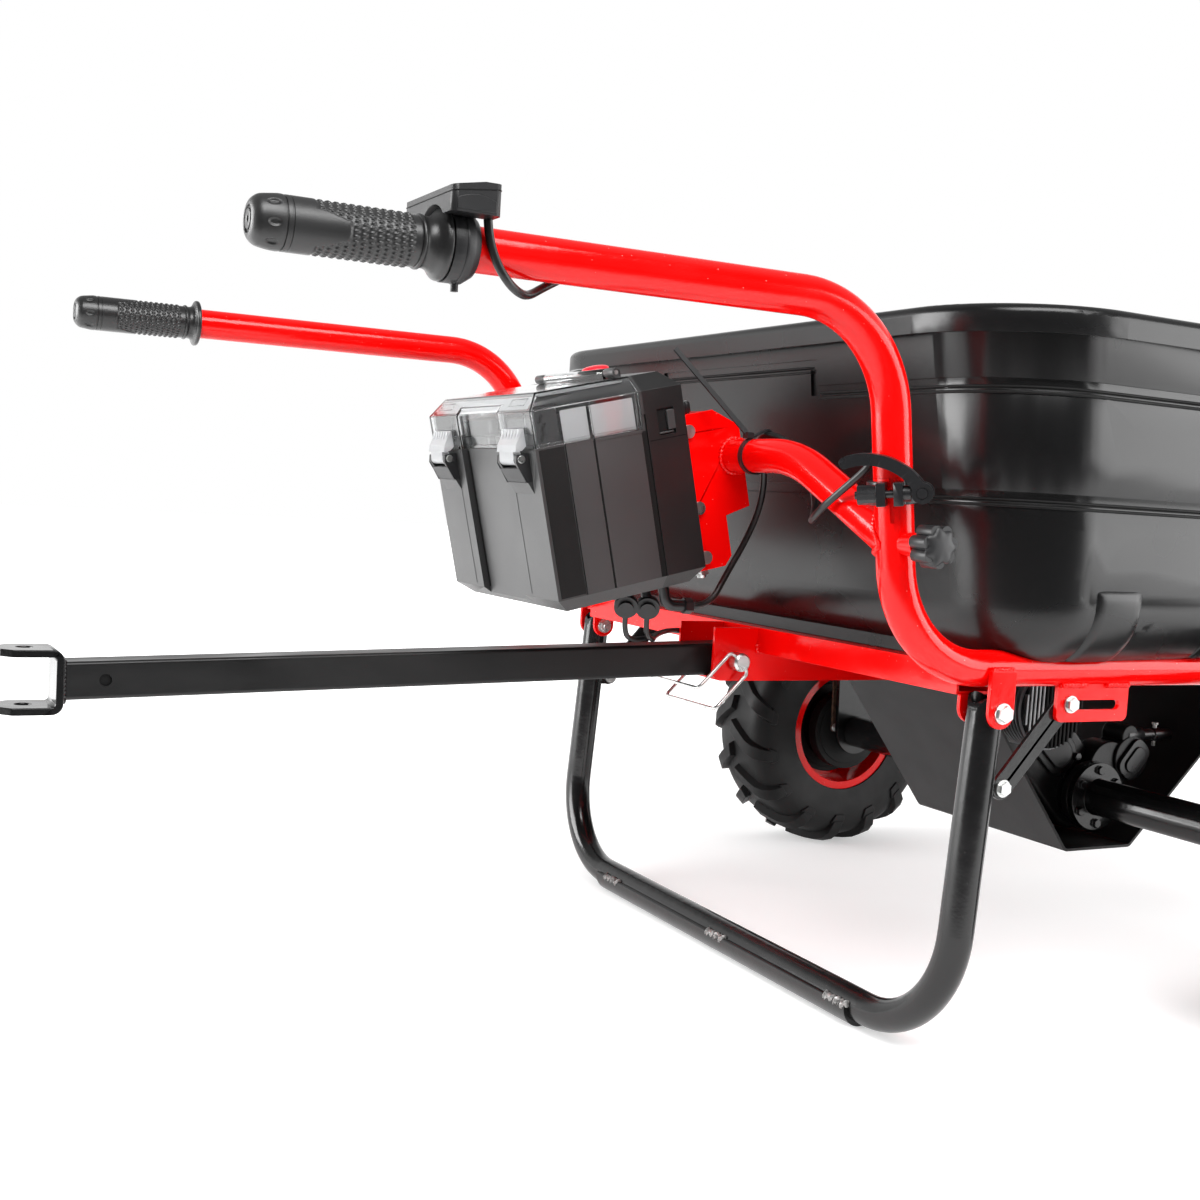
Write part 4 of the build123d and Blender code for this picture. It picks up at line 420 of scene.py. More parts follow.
LEAD_B = [(-211.22, -60.78, 341.73), (-207.89, -54.44, 326.31), (-187.89, -34.44, 318), (-170, -7, 319),
          (-142, 25, 320.5), (-112, 43.25, 321), (-82, 51, 316), (-70.5, 53, 303), (-49, 55, 299),
          (-15, 53, 303), (35, 41, 314), (85, 9, 318), (133, -35.5, 317), (177, -64.5, 311),
          (209, -75.5, 306), (235, -75.5, 306)]


def route_curve(name, route, thick):
    """Smooth curve object with the route's points as its control points."""
    data = bpy.data.curves.new(name, "CURVE")
    data.dimensions = "3D"
    data.resolution_u = 12
    data.bevel_depth = thick / 2
    data.bevel_resolution = 5
    data.use_fill_caps = True
    line = data.splines.new("NURBS")
    line.points.add(len(route) - 1)
    for point, place in zip(line.points, route):
        point.co = (place[0] / 1000, place[1] / 1000, place[2] / 1000, 1)
    line.order_u = 3
    line.use_endpoint_u = True
    data.materials.append(LOOKS["cable_jacket"])
    made = bpy.data.objects.new(name, data)
    scene.collection.objects.link(made)
    return made


def line_points(route):
    """Points read from a route's own smooth curve."""
    bare = route_curve("route", route, 0.0)
    bpy.context.view_layer.update()
    mesh = bpy.data.meshes.new_from_object(bare)
    points = [v.co.copy() for v in mesh.vertices]
    bpy.data.meshes.remove(mesh)
    bpy.data.curves.remove(bare.data)
    return points


upper_cable = route_curve("upper_cable", UPPER, 0.006)
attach(upper_cable, "right_handle")
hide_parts("throttle_cable_upper")
lead_a = route_curve("lead_a", LEAD_A, 0.005)
lead_b = route_curve("lead_b", LEAD_B, 0.005)
for lead in (lead_a, lead_b):
    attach(lead, "chassis")
    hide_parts("motor_leads")
lower_line = line_points(LOWER)
tube_verts, tube_faces = bead(lower_line, 0.003, sides=14)
lower_mesh = bpy.data.meshes.new("lower_cable")
lower_mesh.from_pydata([tuple(v) for v in tube_verts], [], tube_faces)
lower_mesh.shade_smooth()
lower_mesh.materials.append(LOOKS["cable_jacket"])
lower_cable = bpy.data.objects.new("lower_cable", lower_mesh)
scene.collection.objects.link(lower_cable)
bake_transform(lower_cable)
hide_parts("throttle_cable_lower")


def run_length(points):
    """Length along points."""
    return sum((b - a).length for a, b in zip(points, points[1:]))


run_length(line_points(UPPER))
run_length(line_points(LEAD_A))
run_length(line_points(LEAD_B))


# Grips: twelve rings of studs, in millimetres ahead of the uprights

FIRST_RING = -457.4
RING_PITCH = 5.2
RINGS = 12
STUDS_ROUND = 32
SUNK = 0.95


def smooth(value, low, high):
    """Eased step from 0 at low to 1 at high."""
    t = min(1.0, max(0.0, (value - low) / (high - low)))
    return t * t * (3 - 2 * t)


def grip_rows(right):
    """(Along, radius) rows of a hand grip, in millimetres ahead of the uprights."""
    rows = [(-497, 0.0), (-497, 1.9), (-500.8, 2.0), (-501, 2.4), (-501, 6.0), (-500.7, 6.3), (-499.6, 6.4),
            (-499.6, 8.3), (-500.7, 8.5), (-501, 8.9), (-501, 9.8), (-500.7, 10.6)]
    rows += [(-500.2, 11.6), (-499.4, 12.7), (-498.4, 13.7), (-497.4, 14.5), (-496.4, 15.1), (-495.6, 15.5)]
    rows += [(-495 + i * 0.7, 15.7 + 1.6 * math.sin(math.pi / 2 * i / 17)) for i in range(18)]
    rows += [(-482.4, 17.3), (-481.2, 17.2), (-480.9, 16.5), (-480.1, 16.4), (-479.8, 17.1), (-478.6, 17.2)]
    rows += [(-477.2, 17.2), (-476.9, 16.7), (-476.3, 16.7), (-476.0, 17.2)]
    rows += [(-474.5 + i * 1.4, 17.2) for i in range(9)]
    rows += [(-462.6 + i * 0.72, 17.2) for i in range(97)]
    rows += [(-393.2, 16.1), (-392.9, 17.2), (-392.0, 17.6), (-390.8, 17.4), (-390.2, 16.5), (-388.4, 16.2)]
    if right:
        rows += [(-386.4, 16.3), (-384.4, 16.9), (-382.6, 18.0), (-381.0, 19.6), (-379.6, 21.4),
                 (-378.2, 22.6), (-376.8, 23.0), (-375.4, 23.0), (-374.7, 22.7), (-374.35, 22.2),
                 (-374.3, 15.4)]
    else:
        rows += [(-386.6, 16.3), (-385.2, 16.9), (-383.8, 18.4), (-382.6, 20.8), (-381.8, 22.4),
                 (-381.0, 23.0), (-379.2, 23.0), (-378.4, 22.6), (-378.0, 21.8), (-378.0, 15.05)]
    return rows


def grip_shape(tongue):
    """Change of radius that makes the cap's dimples and the studs round two smooth tongues."""
    def shape(along, angle, radius):
        if -493 < along < -482:
            nearest = (angle - tongue) % (math.pi / 4)
            nearest = min(nearest, math.pi / 4 - nearest) * 15.5
            far = ((along + 488.2) / 4.4) ** 2 + (nearest / 2.6) ** 2
            return -1.3 * (1 - smooth(far, 0.15, 1.0))
        if not -462.7 < along < -393.3:
            return 0.0
        off = (angle - tongue) % math.pi
        off = math.degrees(min(off, math.pi - off))
        reach = -441 - 3.0 * max(0.0, off / 24 - 0.55)
        width = 42 - 19 * smooth(along, -461, -441)
        bare = (1 - smooth(off, width - 2.0, width + 2.0)) * (1 - smooth(along, reach, reach + 1.5))
        bare = max(bare, 1 - smooth(along, -461.5, -460.0))
        ring = round((along - FIRST_RING) / RING_PITCH)
        if not 0 <= ring < RINGS:
            return -SUNK * (1 - bare)
        across = (along - FIRST_RING - ring * RING_PITCH) / 1.9
        turn = (angle / (2 * math.pi) * STUDS_ROUND + 0.5 * (ring % 2)) % 1.0
        around = abs(turn - 0.5) * 2 / 0.86
        stud = 1 - smooth(math.hypot(across, around), 0.35, 1.0)
        return (stud - SUNK) * (1 - bare)
    return shape


for name, side, body, node, tongue in (("grip_right_skin", -1, "throttle", "throttle_sleeve", 188),
                                       ("grip_left_skin", 1, "left_handle", "grip_left", 96)):
    place = Matrix.Translation((STEM_X, side * HALF, HANDLE_Z))
    skin = turned_grid(name, grip_rows(side < 0), 288, place, "grip_rubber", body,
                       shape=grip_shape(math.radians(tongue)), sharp=55)
    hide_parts(node)

# Tyres: rounded carcass with slanted lugs that step down the sidewall

CARCASS = [(39.8, 77.0), (39.8, 88.6), (43.7, 88.6), (43.8, 82.6), (44.6, 81.8), (45.6, 82.8), (46.4, 90.0),
           (47.6, 103.0), (48.6, 112.0), (48.8, 121.0), (47.8, 130.0), (45.0, 137.5), (40.4, 142.8),
           (33.6, 146.0), (24.0, 147.6), (12.0, 148.4), (0.0, 148.7)]
BARE_SPANS = 6
LUG_COUNT = 15
LUG_RADIUS = 150
TYRE_HALF = 51.9
TYRE_REACH = 157.9

# Stations of a lug, and of the step below it: place along the carcass, lead angle, half widths at the
# foot and at the crown, height
LUG = ((0.015, 0.0, 11.0, 8.0, 8.6), (0.12, 2.6, 11.0, 8.0, 9.0), (0.24, 5.8, 11.2, 8.2, 9.3),
       (0.34, 8.8, 11.6, 8.6, 9.6), (0.42, 11.0, 12.0, 9.0, 9.0), (0.50, 12.8, 12.0, 9.0, 7.6),
       (0.57, 14.2, 11.6, 8.6, 6.2), (0.63, 15.2, 11.0, 8.0, 4.6))
STEP = ((0.60, 14.8, 13.5, 11.5, 2.6), (0.66, 15.8, 13.0, 11.0, 2.6), (0.72, 16.6, 10.5, 8.0, 2.0))


def on_carcass(run):
    """Point and outward direction on the half carcass, run from 0 at its middle to 1 above the rim."""
    spans = list(zip(CARCASS[::-1], CARCASS[-2::-1]))[:-BARE_SPANS]
    lengths = [math.dist(a, b) for a, b in spans]
    left = run * sum(lengths)
    for (a, b), length in zip(spans, lengths):
        if left <= length or (a, b) == spans[-1]:
            break
        left -= length
    t = left / length
    out = Vector((b[1] - a[1], b[0] - a[0])).normalized()
    return a[0] + t * (b[0] - a[0]), a[1] + t * (b[1] - a[1]), -out.x, out.y


def wheel_point(along, radius, angle, side):
    """Point of a wheel from its axial place, radius and angle."""
    return Vector((AXLE_X + radius / 1000 * math.cos(angle), side * TRACK + along / 1000,
                   WHEEL_Z + radius / 1000 * math.sin(angle)))


def tyre(name, side, body, node):
    """Whole tyre of one side."""
    verts = []
    profile = CARCASS + [(-a, r) for a, r in CARCASS[-2::-1]]
    turns = 120
    for along, radius in profile:
        verts += [wheel_point(along, radius, 2 * math.pi * k / turns, side) for k in range(turns)]
    faces = grid_faces(len(profile), turns)
    for half in (-1, 1):
        for n in range(LUG_COUNT):
            start = 2 * math.pi * (n + (0.5 if half < 0 else 0.0)) / LUG_COUNT
            for stations in (LUG, STEP):
                base = len(verts)
                for run, lead, foot, crown, height in stations:
                    along, radius, out_along, out_radius = on_carcass(run)
                    angle = start + math.radians(lead)
                    for across, lift in ((-foot, -1.5), (-crown, height), (crown, height), (foot, -1.5)):
                        r = min(radius + lift * out_radius, TYRE_REACH)
                        a = max(-TYRE_HALF, min(TYRE_HALF, half * (along + lift * out_along)))
                        verts.append(wheel_point(a, r, angle + across / LUG_RADIUS, side))
                faces += grid_faces(len(stations), 4, base)
                faces.append(tuple(range(base, base + 4)))
                faces.append(tuple(range(len(verts) - 4, len(verts)))[::-1])
    made = add_piece(name, verts, faces, "tyre_rubber", body, sharp=32, bevel=1.6)
    made.modifiers["bevel"].angle_limit = math.radians(40)
    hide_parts(node)


tyre("tyre_right_skin", -1, "right_wheel", "tyre_right")
tyre("tyre_left_skin", 1, "left_wheel", "tyre_left")

# Brake plate with its worn lever on the inner side of each wheel; the plate is wide and dull black, so it
# also stands as painted shade inside the rim
for label, side in BOTH:
    place = (Matrix.Translation((AXLE_X, side * (TRACK - 0.0475), WHEEL_Z))
             @ Matrix.Rotation(math.radians(90), 4, "X"))
    if side < 0:
        place = place @ Matrix.Rotation(math.pi, 4, "X")
    deep = Matrix.Translation((0, side * 0.0395, 0)) @ place
    plate = [(disc(0, 0, 64, 64), 0.5, 3.0, deep), (disc(0, 0, 58, 64), 2.8, 5.5, deep),
             (disc(0, 0, 53, 48), -14.0, 2.0, place), (disc(0, 0, 46, 40), 1.8, 3.2, place)]
    prisms(f"brake_plate_and_shade_{label}", plate, "dull_black", "chassis", bevel=0.6)
    arm = ((-29, 2), (-20, 2), (-21, 26), (-25, 66), (-32, 66), (-31, 26))
    lever = [([(u, side * v) for u, v in arm], 3.0, 6.0, place),
             (disc(-24.5, side * 4, 6.5), 3.0, 5.5, place)]
    prisms(f"brake_lever_{label}", lever, "worn_steel", "chassis", bevel=0.5)
    bolt = [(disc(-24.5, side * 4, 4.2, 6), 5.3, 9.0, place), (disc(-24.5, side * 4, 5.4), 5.3, 6.5, place)]
    prisms(f"brake_bolt_{label}", bolt, "zinc", "chassis", bevel=0.4)

# Battery box, in its own millimetres: stripe, dark lines in its grooves and creases as painted shade, bands,
# block of its cap, and painted shade in the cap's recess

RIGHT = BOX_PLACE @ axes(FORE, UP, -TO_LEFT, (0, -BOX_HALF, 0))
LEFT = BOX_PLACE @ axes(-FORE, UP, TO_LEFT, (0, BOX_HALF, 0))
REAR = BOX_PLACE @ axes(-TO_LEFT, UP, -FORE, (-BOX_REAR, 0, 0))
CHAMFER = BOX_PLACE @ (Matrix.Translation((-0.067, 0, 0.181)) @ Matrix.Rotation(math.radians(-45), 4, "Y")
                       @ axes(-TO_LEFT, FORE, UP))
FLANKS = ((RIGHT, 1), (LEFT, -1))
LATCH_Y = 79
band = ((-71, 13.5), (-47, 13.5), (-47, 140.5), (-71, 140.5))
stripe = [([(sign * u, v) for u, v in band], -0.6, 0.35, place) for place, sign in FLANKS]
prisms("box_stripe", stripe, "stripe_black", "chassis", bevel=0.15)
# Dull black lines sunk in the box's grooves and creases are painted shade
crease_shade = []
for place, sign in FLANKS:
    for u, width in ((-18, 1.3), (31.5, 5.0)):
        crease_shade.append((oblong(sign * u, 76, width, 128), -1.45, -1.0, place))
    crease_shade.append((oblong(sign * 54.5, 130.5, 37, 1.0), -0.3, 0.12, place))
crease_shade += [(oblong(v, 76, 2.0, 128), -5.6, -5.2, REAR) for v in (-43.0, 43.0)]
prisms("box_crease_shade", crease_shade, "dull_black", "chassis", bevel=0.0)
bands = [(oblong(v, 77, 1.2, 124), -0.4, 0.35, REAR) for v in (-60.5, 60.5)]
bands += [(oblong(v, 140.2, 62, 2.4, 0.8), -0.4, 0.6, REAR) for v in (-LATCH_Y, LATCH_Y)]
bands += [(oblong(sign * 6, 140.2, 46, 2.4, 0.8), -0.4, 0.6, place) for place, sign in FLANKS]
prisms("box_bands", bands, "box_plastic", "chassis", bevel=0.25)
block = [(oblong(59.2, 146, 7.5, 17, 1.0), -1.9, 1.2, RIGHT),
         (oblong(53.4, 135.6, 14, 1.4, 0.5), -1.9, 0.4, RIGHT)]
prisms("cap_block", block, "box_plastic", "chassis", bevel=0.6)
# Dull black sheet in the floor of the cap's recess is painted shade
recess_shade = [(oblong(50.4, 145, 8.0, 21.5, 1.5), -2.05, -1.8, RIGHT)]
prisms("cap_pocket_shade", recess_shade, "dull_black", "chassis", bevel=0.0)

# Rim, ribs and latch marks of the lid
rim = [(oblong(v, 144.0, 63, 3.0, 0.8), -0.3, 1.1, REAR) for v in (-79.5, 79.5)]
rim.append((oblong(0, 144.0, 84, 3.0, 0.8), -6.2, -5.0, REAR))
for place, sign in FLANKS:
    rim.append((oblong(sign * -22, 144.0, 101, 3.0, 0.8), -0.3, 1.0, place))
    rim += [(oblong(sign * u, 158, 1.4, 31, 0.5), -0.3, 0.7, place) for u in (-18, 26.5)]
rim += [(oblong(v, 159, 1.2, 28, 0.5), -0.3, 0.6, REAR) for v in (-100, -58, 58, 100)]
prisms("lid_rim", rim, "clear_plastic", "lid", bevel=0.3)
sides = ((0, 3.4, 30, 0.9), (0, -3.4, 30, 0.9), (-14.6, 0, 0.9, 7.4), (14.6, 0, 0.9, 7.4))
marks = [(oblong(v + du, dv, width, height), -0.2, 0.45, CHAMFER)
         for v in (-LATCH_Y, LATCH_Y) for du, dv, width, height in sides]
prisms("lid_marks", marks, "clear_plastic", "lid", bevel=0.2)

# Ribs of the latches, and the wedges and pin eyes that hold them
LATCHES = (("right", LATCH_Y), ("left", -LATCH_Y))
for label, middle in LATCHES:
    facet = (BOX_PLACE @ Matrix.Translation((-0.0800, -middle / 1000, 0.1540))
             @ Matrix.Rotation(-(math.pi / 2 - 0.33), 4, "Y") @ axes(-TO_LEFT, FORE, UP))
    ribs = [(oblong(-15 + 6 * i, 0, 3.2, 12.5, 1.0), -0.6, 0.7, facet) for i in range(6)]
    prisms(f"latch_ribs_{label}", ribs, "latch_clear", f"{label}_latch", bevel=0.4)
cheek = [(-74.2, 115), (-80.0, 115), (-87.0, 132.6), (-85.4, 139.4), (-74.2, 139.4)]
face = [(-78.9, 115), (-80.0, 115), (-85.0, 127.6), (-84.0, 127.9)]
for label, middle in LATCHES:
    place = BOX_PLACE @ axes(FORE, UP, -TO_LEFT, (0, -middle / 1000, 0))
    wedge = [(cheek, 18.9, 19.5, place), (cheek, -19.5, -18.9, place), (face, -19.5, 19.5, place)]
    prisms(f"latch_wedge_{label}", wedge, "black_plastic", "chassis", bevel=0.3)
    eyes = [(disc(-81.5, 135, 3.4), w - 0.5, w + 0.5, place) for w in (-19.9, 19.9)]
    prisms(f"latch_eyes_{label}", eyes, "zinc", "chassis", bevel=0.3)

# Frosted liners and haze under the lid
liners = [(oblong(sign * u, 156.5, width, 27, 1.0), -4.2, -3.4, place)
          for place, sign in FLANKS for u, width in ((-32.5, 25), (4.5, 42))]
liners.append((oblong(0, 0, 202, 13, 1.5), -3.5, -2.8, CHAMFER))
prisms("lid_liners", liners, "frosted_clear", "lid", bevel=0.2)
haze = [(oblong(-18, 0, 82, 204, 3), 183.6, 184.3, BOX_PLACE)]
prisms("lid_haze", haze, "hazed_clear", "lid", bevel=0.2)

# Ends, slanted vent slits drawn dark as painted shade, and top ridges of the battery packs
ends = [(oblong(sign * -58.5, 160, 21, 32, 1.5), -8.0, -3.4, place) for place, sign in FLANKS]
prisms("pack_ends", ends, "black_plastic", "chassis", bevel=0.6)
slit_shade = []
for place, sign in FLANKS:
    for i in range(3):
        slit = oblong(sign * (-64 + 1.5 * (i % 2)), 151 + 7.5 * i, 8.5, 3.0, 1.3, turn=sign * 58)
        slit_shade.append((slit, -3.5, -3.2, place))
prisms("pack_vent_shade", slit_shade, "dull_black", "chassis", bevel=0.0)
ridges = [(oblong(-20.5 + 9 * i, s * 51, 4.0, 58, 1.5), 165.8, 167.6, BOX_PLACE)
          for s in (-1, 1) for i in range(-2, 3)]
prisms("pack_ridges", ridges, "black_plastic", "chassis", bevel=0.5)

# Control box: lid seam and arch panel on its near side; joint round the throttle housing
CONTROL_REAR, CONTROL_LOW = -382, 621.8
ring = [near(x, y, CONTROL_LOW + 12.2 + 4 * min(1, (x - CONTROL_REAR) / 22))
        for x, y in oblong(-365, -325, 34.1, 84.1, 4.05, steps=6)]
seam = beads("control_seam", [ring + ring[:1]], 0.0004, "dull_black", "right_handle", ripple=0.0, step=0.003)
arch = [(-378.5, CONTROL_LOW + 1.5), (-352, CONTROL_LOW + 1.5)]
arch += [(-352 - 26.5 * i / 10, CONTROL_LOW + 8.5 + 3.2 * math.sin(math.pi * i / 10)) for i in range(11)]
panel = [(arch, -0.4, 0.35, side_frame(-0.367))]
prisms("control_panel", panel, "black_plastic", "right_handle", bevel=0.4)
place = Matrix.Translation((STEM_X, -HALF, HANDLE_Z))
rows = [(-366.2, 23.0), (-366.0, 23.75), (-365.2, 23.9), (-364.4, 23.75), (-364.2, 23.0)]
turned_grid("housing_seam", rows, 96, place, "black_plastic", "right_handle")


# Welds, painted over apart from those of the skid

def pipe_joint(foot, along, radius, axis, reach, count=40):
    """Closed ring where a pipe that starts on a tube's axis comes out at a distance from that axis."""
    along, axis = along.normalized(), axis.normalized()
    first = along.orthogonal().normalized()
    second = along.cross(first)
    ring = []
    for i in range(count + 1):
        angle = 2 * math.pi * i / count
        point = foot + radius * (math.cos(angle) * first + math.sin(angle) * second)
        off = point - foot
        across = off - axis * off.dot(axis)
        run = along - axis * along.dot(axis)
        a, b, c = run.dot(run), 2 * across.dot(run), across.dot(across) - reach ** 2
        t = (-b + math.sqrt(max(0.0, b * b - 4 * a * c))) / (2 * a)
        ring.append(point + along * t)
    return ring


up_stem = Vector((-math.sin(STEM_LEAN), 0, math.cos(STEM_LEAN)))
arm_foot = near(KNOB_AHEAD, -334, KNOB_HEIGHT)
arm_way = near(KNOB_AHEAD, -198, 494) - arm_foot
joints = [pipe_joint(arm_foot, arm_way, 0.0155, up_stem, 0.0152)]
lines = [[near(start, y, z), near(end, y, z)] for start, end, y, z in (
    (102, 127, -350.2, 331.4), (185, 214, -343.4, 318.0), (236, 263, -343.4, 318.0), (98, 136, -321, 331))]
lines += [[near(x, -318.5, 318), near(x, -318.5, 330)] for x in (97.0, 137.2)]
lines = both_sides(lines)
lines += [[near(97, y, 316), near(97, y, 308.6), near(130, y, 308.0)] for y in (-33.6, 33.6)]
beads("welds_red", joints + lines, 0.0024, "red_paint", "chassis")
arm_end = Vector((arm_foot.x, -0.1036, 0.494))
ring = [arm_end + 0.0156 * Vector((math.cos(angle), 0, math.sin(angle)))
        for angle in (2 * math.pi * i / 36 for i in range(37))]
beads("welds_arm", [ring], 0.0020, "red_paint", "chassis")
ring = [near(-551.6, s * 16.0, bar_height(-552) + t * 16.0)
        for s, t in ((-1, -1), (1, -1), (1, 1), (-1, 1), (-1, -1))]
beads("welds_clevis", [ring], 0.0022, "black_paint", "chassis")
stitches = [[near(80.4 + 0.9 * (i % 2), y + 16 - 3.2 * i, 21.0 - 0.9 * (i % 3)) for i in range(11)]
            for y in (197, -19, -215)]
skid = beads("welds_skid", stitches, 0.0034, "weld_grey", "fold_stand", ripple=0.35, pitch=0.004)

# Gearbox: ear, cover, shift rod with its pin, and screws
SIDE = side_frame(-0.058)
SHIFT = Matrix.Translation(near(0, -66, 220.5))
ear = [(disc(546, 186, 29, 40), -14, 14, SIDE), (disc(576, 196, 25, 40), -14, 17, SIDE),
       (disc(572, 221, 12, 28), -14, 16, SIDE),
       (oblong(470, 212, 78, 46, 20, steps=8, turn=-42), -2, 3.5, SIDE),
       (oblong(470, 212, 62, 31, 14, steps=8, turn=-42), 3, 6.5, SIDE)]
prisms("gearbox_ear", ear, "cast_housing", "chassis", bevel=1.2)
cover = [(oblong(577, 195, 46, 30, 10, steps=3, turn=48), 16.5, 20.5, SIDE),
         (oblong(577, 195, 32, 17, 8, steps=6, turn=48), 20, 22.5, SIDE)]
prisms("gearbox_cover", cover, "black_metal", "chassis", bevel=0.8)
rod = [(570, 0.0), (570, 9.0), (592, 9.0), (593, 8.2), (596, 8.2), (597, 6.4), (612, 6.4), (613, 7.6),
       (624, 7.6), (625, 6.0), (640, 6.0), (641, 5.2), (641, 0.0)]
turned_grid("shift_rod", rod, 40, SHIFT, "black_metal", "chassis")
pin = [(disc(618, 0, 2.2, 16), -13, 13, SHIFT), (disc(618, 0, 3.6, 16), 11, 13.6, SHIFT)]
prisms("shift_pin", pin, "zinc", "chassis", bevel=0.3)
heads = [(disc(x, z, 4.6, 6), 3, 8.5, SIDE) for x, z in ((437, 226), (452, 247), (489, 177), (505, 198))]
prisms("gearbox_screws", heads, "black_metal", "chassis", bevel=0.4)

# Motor: fins round it, and an end plate with alloy ribs at the rear and dull black ribs, painted shade,
# further forward
FIN_PITCH = 5
FIN = ((59.5, 40.0), (60.5, 43.8), (62.5, 43.8), (63.5, 40.0))
RIB_PITCH = 5.4
fins = [(along + FIN_PITCH * i, radius) for i in range(9) for along, radius in FIN]
place = axes(-TO_LEFT, FORE, UP, near(420, 0, 258))
turned_grid("motor_fins", fins, 96, place, "motor_alloy", "chassis")
END = axes(FORE, UP, -TO_LEFT, near(420, -105, 258))
plate = [(disc(0, 0, 41.5, 48), -0.5, 0.6, END)]
prisms("motor_end", plate, "dull_black", "chassis", bevel=0.0)
# Ribs further forward are dull black copies of the alloy ribs, as painted shade
for name, span, look in (("motor_ribs", range(-7, -2), "motor_alloy"),
                         ("motor_ribs_painted_shade", range(-2, 8), "dull_black")):
    ribs = []
    for u in (RIB_PITCH * i for i in span):
        ribs.append((oblong(u, 0, 2.6, 2 * math.sqrt(41.0 ** 2 - u ** 2)), 0.4, 4.5, END))
    prisms(name, ribs, look, "chassis", bevel=0.5)

# Mushroom cap of the power button, and domed faces of the star knobs
place = BOX_PLACE @ axes(UP, FORE, TO_LEFT, (0.0525, 0, 0))
rows = [(193.6, 10.0), (194.0, 12.2), (195.2, 13.0), (196.6, 12.4), (197.8, 10.4), (198.6, 7.0),
        (199.0, 3.0), (199.1, 0.0)]
turned_grid("button_cap", rows, 48, place, "red_plastic", "button")
DOME = 13.6
rows = [(51.0, DOME), (52.2, 13.3), (53.2, 12.2), (54.0, 9.8), (54.5, 6.5), (54.8, 3.0), (54.9, 0.0)]
for label, side in BOTH:
    place = axes(side * TO_LEFT, -side * FORE, UP, near(KNOB_AHEAD, side * 334, KNOB_HEIGHT))
    dome = turned_grid(f"knob_dome_{label}", rows, 112, place, "black_plastic", f"{label}_knob",
                       shape=lambda along, angle, r: -side * 1.5 * (r / DOME) ** 4 * math.cos(7 * angle))

# Black knob on the bracket's rod, and dull black discs inside the tow bar's cross hole as painted shade
place = BOX_PLACE @ axes(UP, FORE, TO_LEFT, (0.090, -0.076, 0))
rows = [(146.3, 8.0), (146.3, 9.0), (147.2, 9.8), (154.4, 9.8), (156.2, 8.8), (157.3, 5.0), (157.4, 0.0)]
knob = turned_grid("bracket_knob", rows, 96, place, "black_plastic", "chassis",
                   shape=lambda along, angle, radius: 0.5 * math.cos(12 * angle) * (radius > 8.5))
bar_shade_discs = [(disc(-519, bar_height(-519), 6.0, 24), w - 0.4, w + 0.4, side_frame(0)) for w in (-12.6, 12.6)]
prisms("bar_hole_shade", bar_shade_discs, "dull_black", "chassis", bevel=0.0)


# Tub

def wall_line(height):
    """Outer loop of the tub's wall at one height."""
    cut = bmesh.new()
    cut.from_mesh(nodes["tub"].data)
    bmesh.ops.remove_doubles(cut, verts=cut.verts, dist=2e-5)
    found = bmesh.ops.bisect_plane(cut, geom=cut.verts[:] + cut.edges[:] + cut.faces[:],
                                   plane_co=(0, 0, height), plane_no=(0, 0, 1))["geom_cut"]
    edges = dict.fromkeys(e for e in found if isinstance(e, bmesh.types.BMEdge))
    loops = []
    while edges:
        edge = next(iter(edges))
        del edges[edge]
        loop = [edge.verts[0], edge.verts[1]]
        while True:
            after = next((e for e in loop[-1].link_edges if e in edges), None)
            if after is None:
                break
            del edges[after]
            loop.append(after.other_vert(loop[-1]))
        loops.append([v.co.copy() for v in loop])
    cut.free()
    return max(loops, key=lambda loop: max(p.y for p in loop) - min(p.y for p in loop))


def groove_runs(height, stepped):
    """Runs of the tub's wall at one height, outside or inside the step at the middle of its rear."""
    runs, run = [], []
    for point in even(wall_line(height), 0.008, fit=math.ceil):
        inside = point.x < STEM_X + 0.12 and abs(point.y) < 0.134
        if inside == stepped:
            run.append(point)
        elif run:
            runs.append(run)
            run = []
    runs.append(run)
    return [run for run in runs if len(run) > 2]


# Dull black bars in the floors of the tub's two grooves as painted shade; the grooves step up at the middle
# of its rear
lines = [line for height in (0.464, 0.552) for lift, stepped in ((0.0, False), (0.023, True))
         for off in (-0.0022, 0.0, 0.0022) for line in groove_runs(height + lift + off, stepped)]
bars("tub_groove_shade", lines, 0.0013, "dull_black", "chassis", up=UP)

# Raised pads where the tub's sides turn under: rows down the wall and then round its lower edge
PAD_PLACES = (205, 350, 495, 640)
PAD_ROWS = [(10 - 3 * i, 0.0) for i in range(4)] + [(0, 6.2 * i) for i in range(1, 11)]
PAD_ACROSS = ((-27.0, -1.0), (-25.5, 0.5), (-23.0, 1.4), (-20.0, 2.0), (-16.0, 2.3), (0.0, 2.4), (16.0, 2.3),
              (20.0, 2.0), (23.0, 1.4), (25.5, 0.5), (27.0, -1.0))
EDGE_Y, EDGE_Z = 0.325, 0.3895
wall = nodes["tub"].data
wall_tree = BVHTree.FromPolygons([v.co for v in wall.vertices], [tuple(p.vertices) for p in wall.polygons])
verts, faces = [], []
for side in (-1, 1):
    for middle in PAD_PLACES:
        faces += grid_faces(len(PAD_ROWS), len(PAD_ACROSS), len(verts), closed=False)
        for i, (rise, angle) in enumerate(PAD_ROWS):
            way = Vector((0, side * math.cos(math.radians(angle)), -math.sin(math.radians(angle))))
            for off, lift in PAD_ACROSS:
                foot = Vector((STEM_X + (middle + off) / 1000, side * EDGE_Y, EDGE_Z + rise / 1000))
                hit = wall_tree.ray_cast(foot + 0.2 * way, -way)[0]
                lift = lift * min(1.0, 0.35 + 0.3 * i) - (1.5 if i == 0 else 0.0)
                verts.append(hit + way * lift / 1000)
add_piece("tub_pads", verts, faces, "tub_plastic", "chassis", sharp=30)

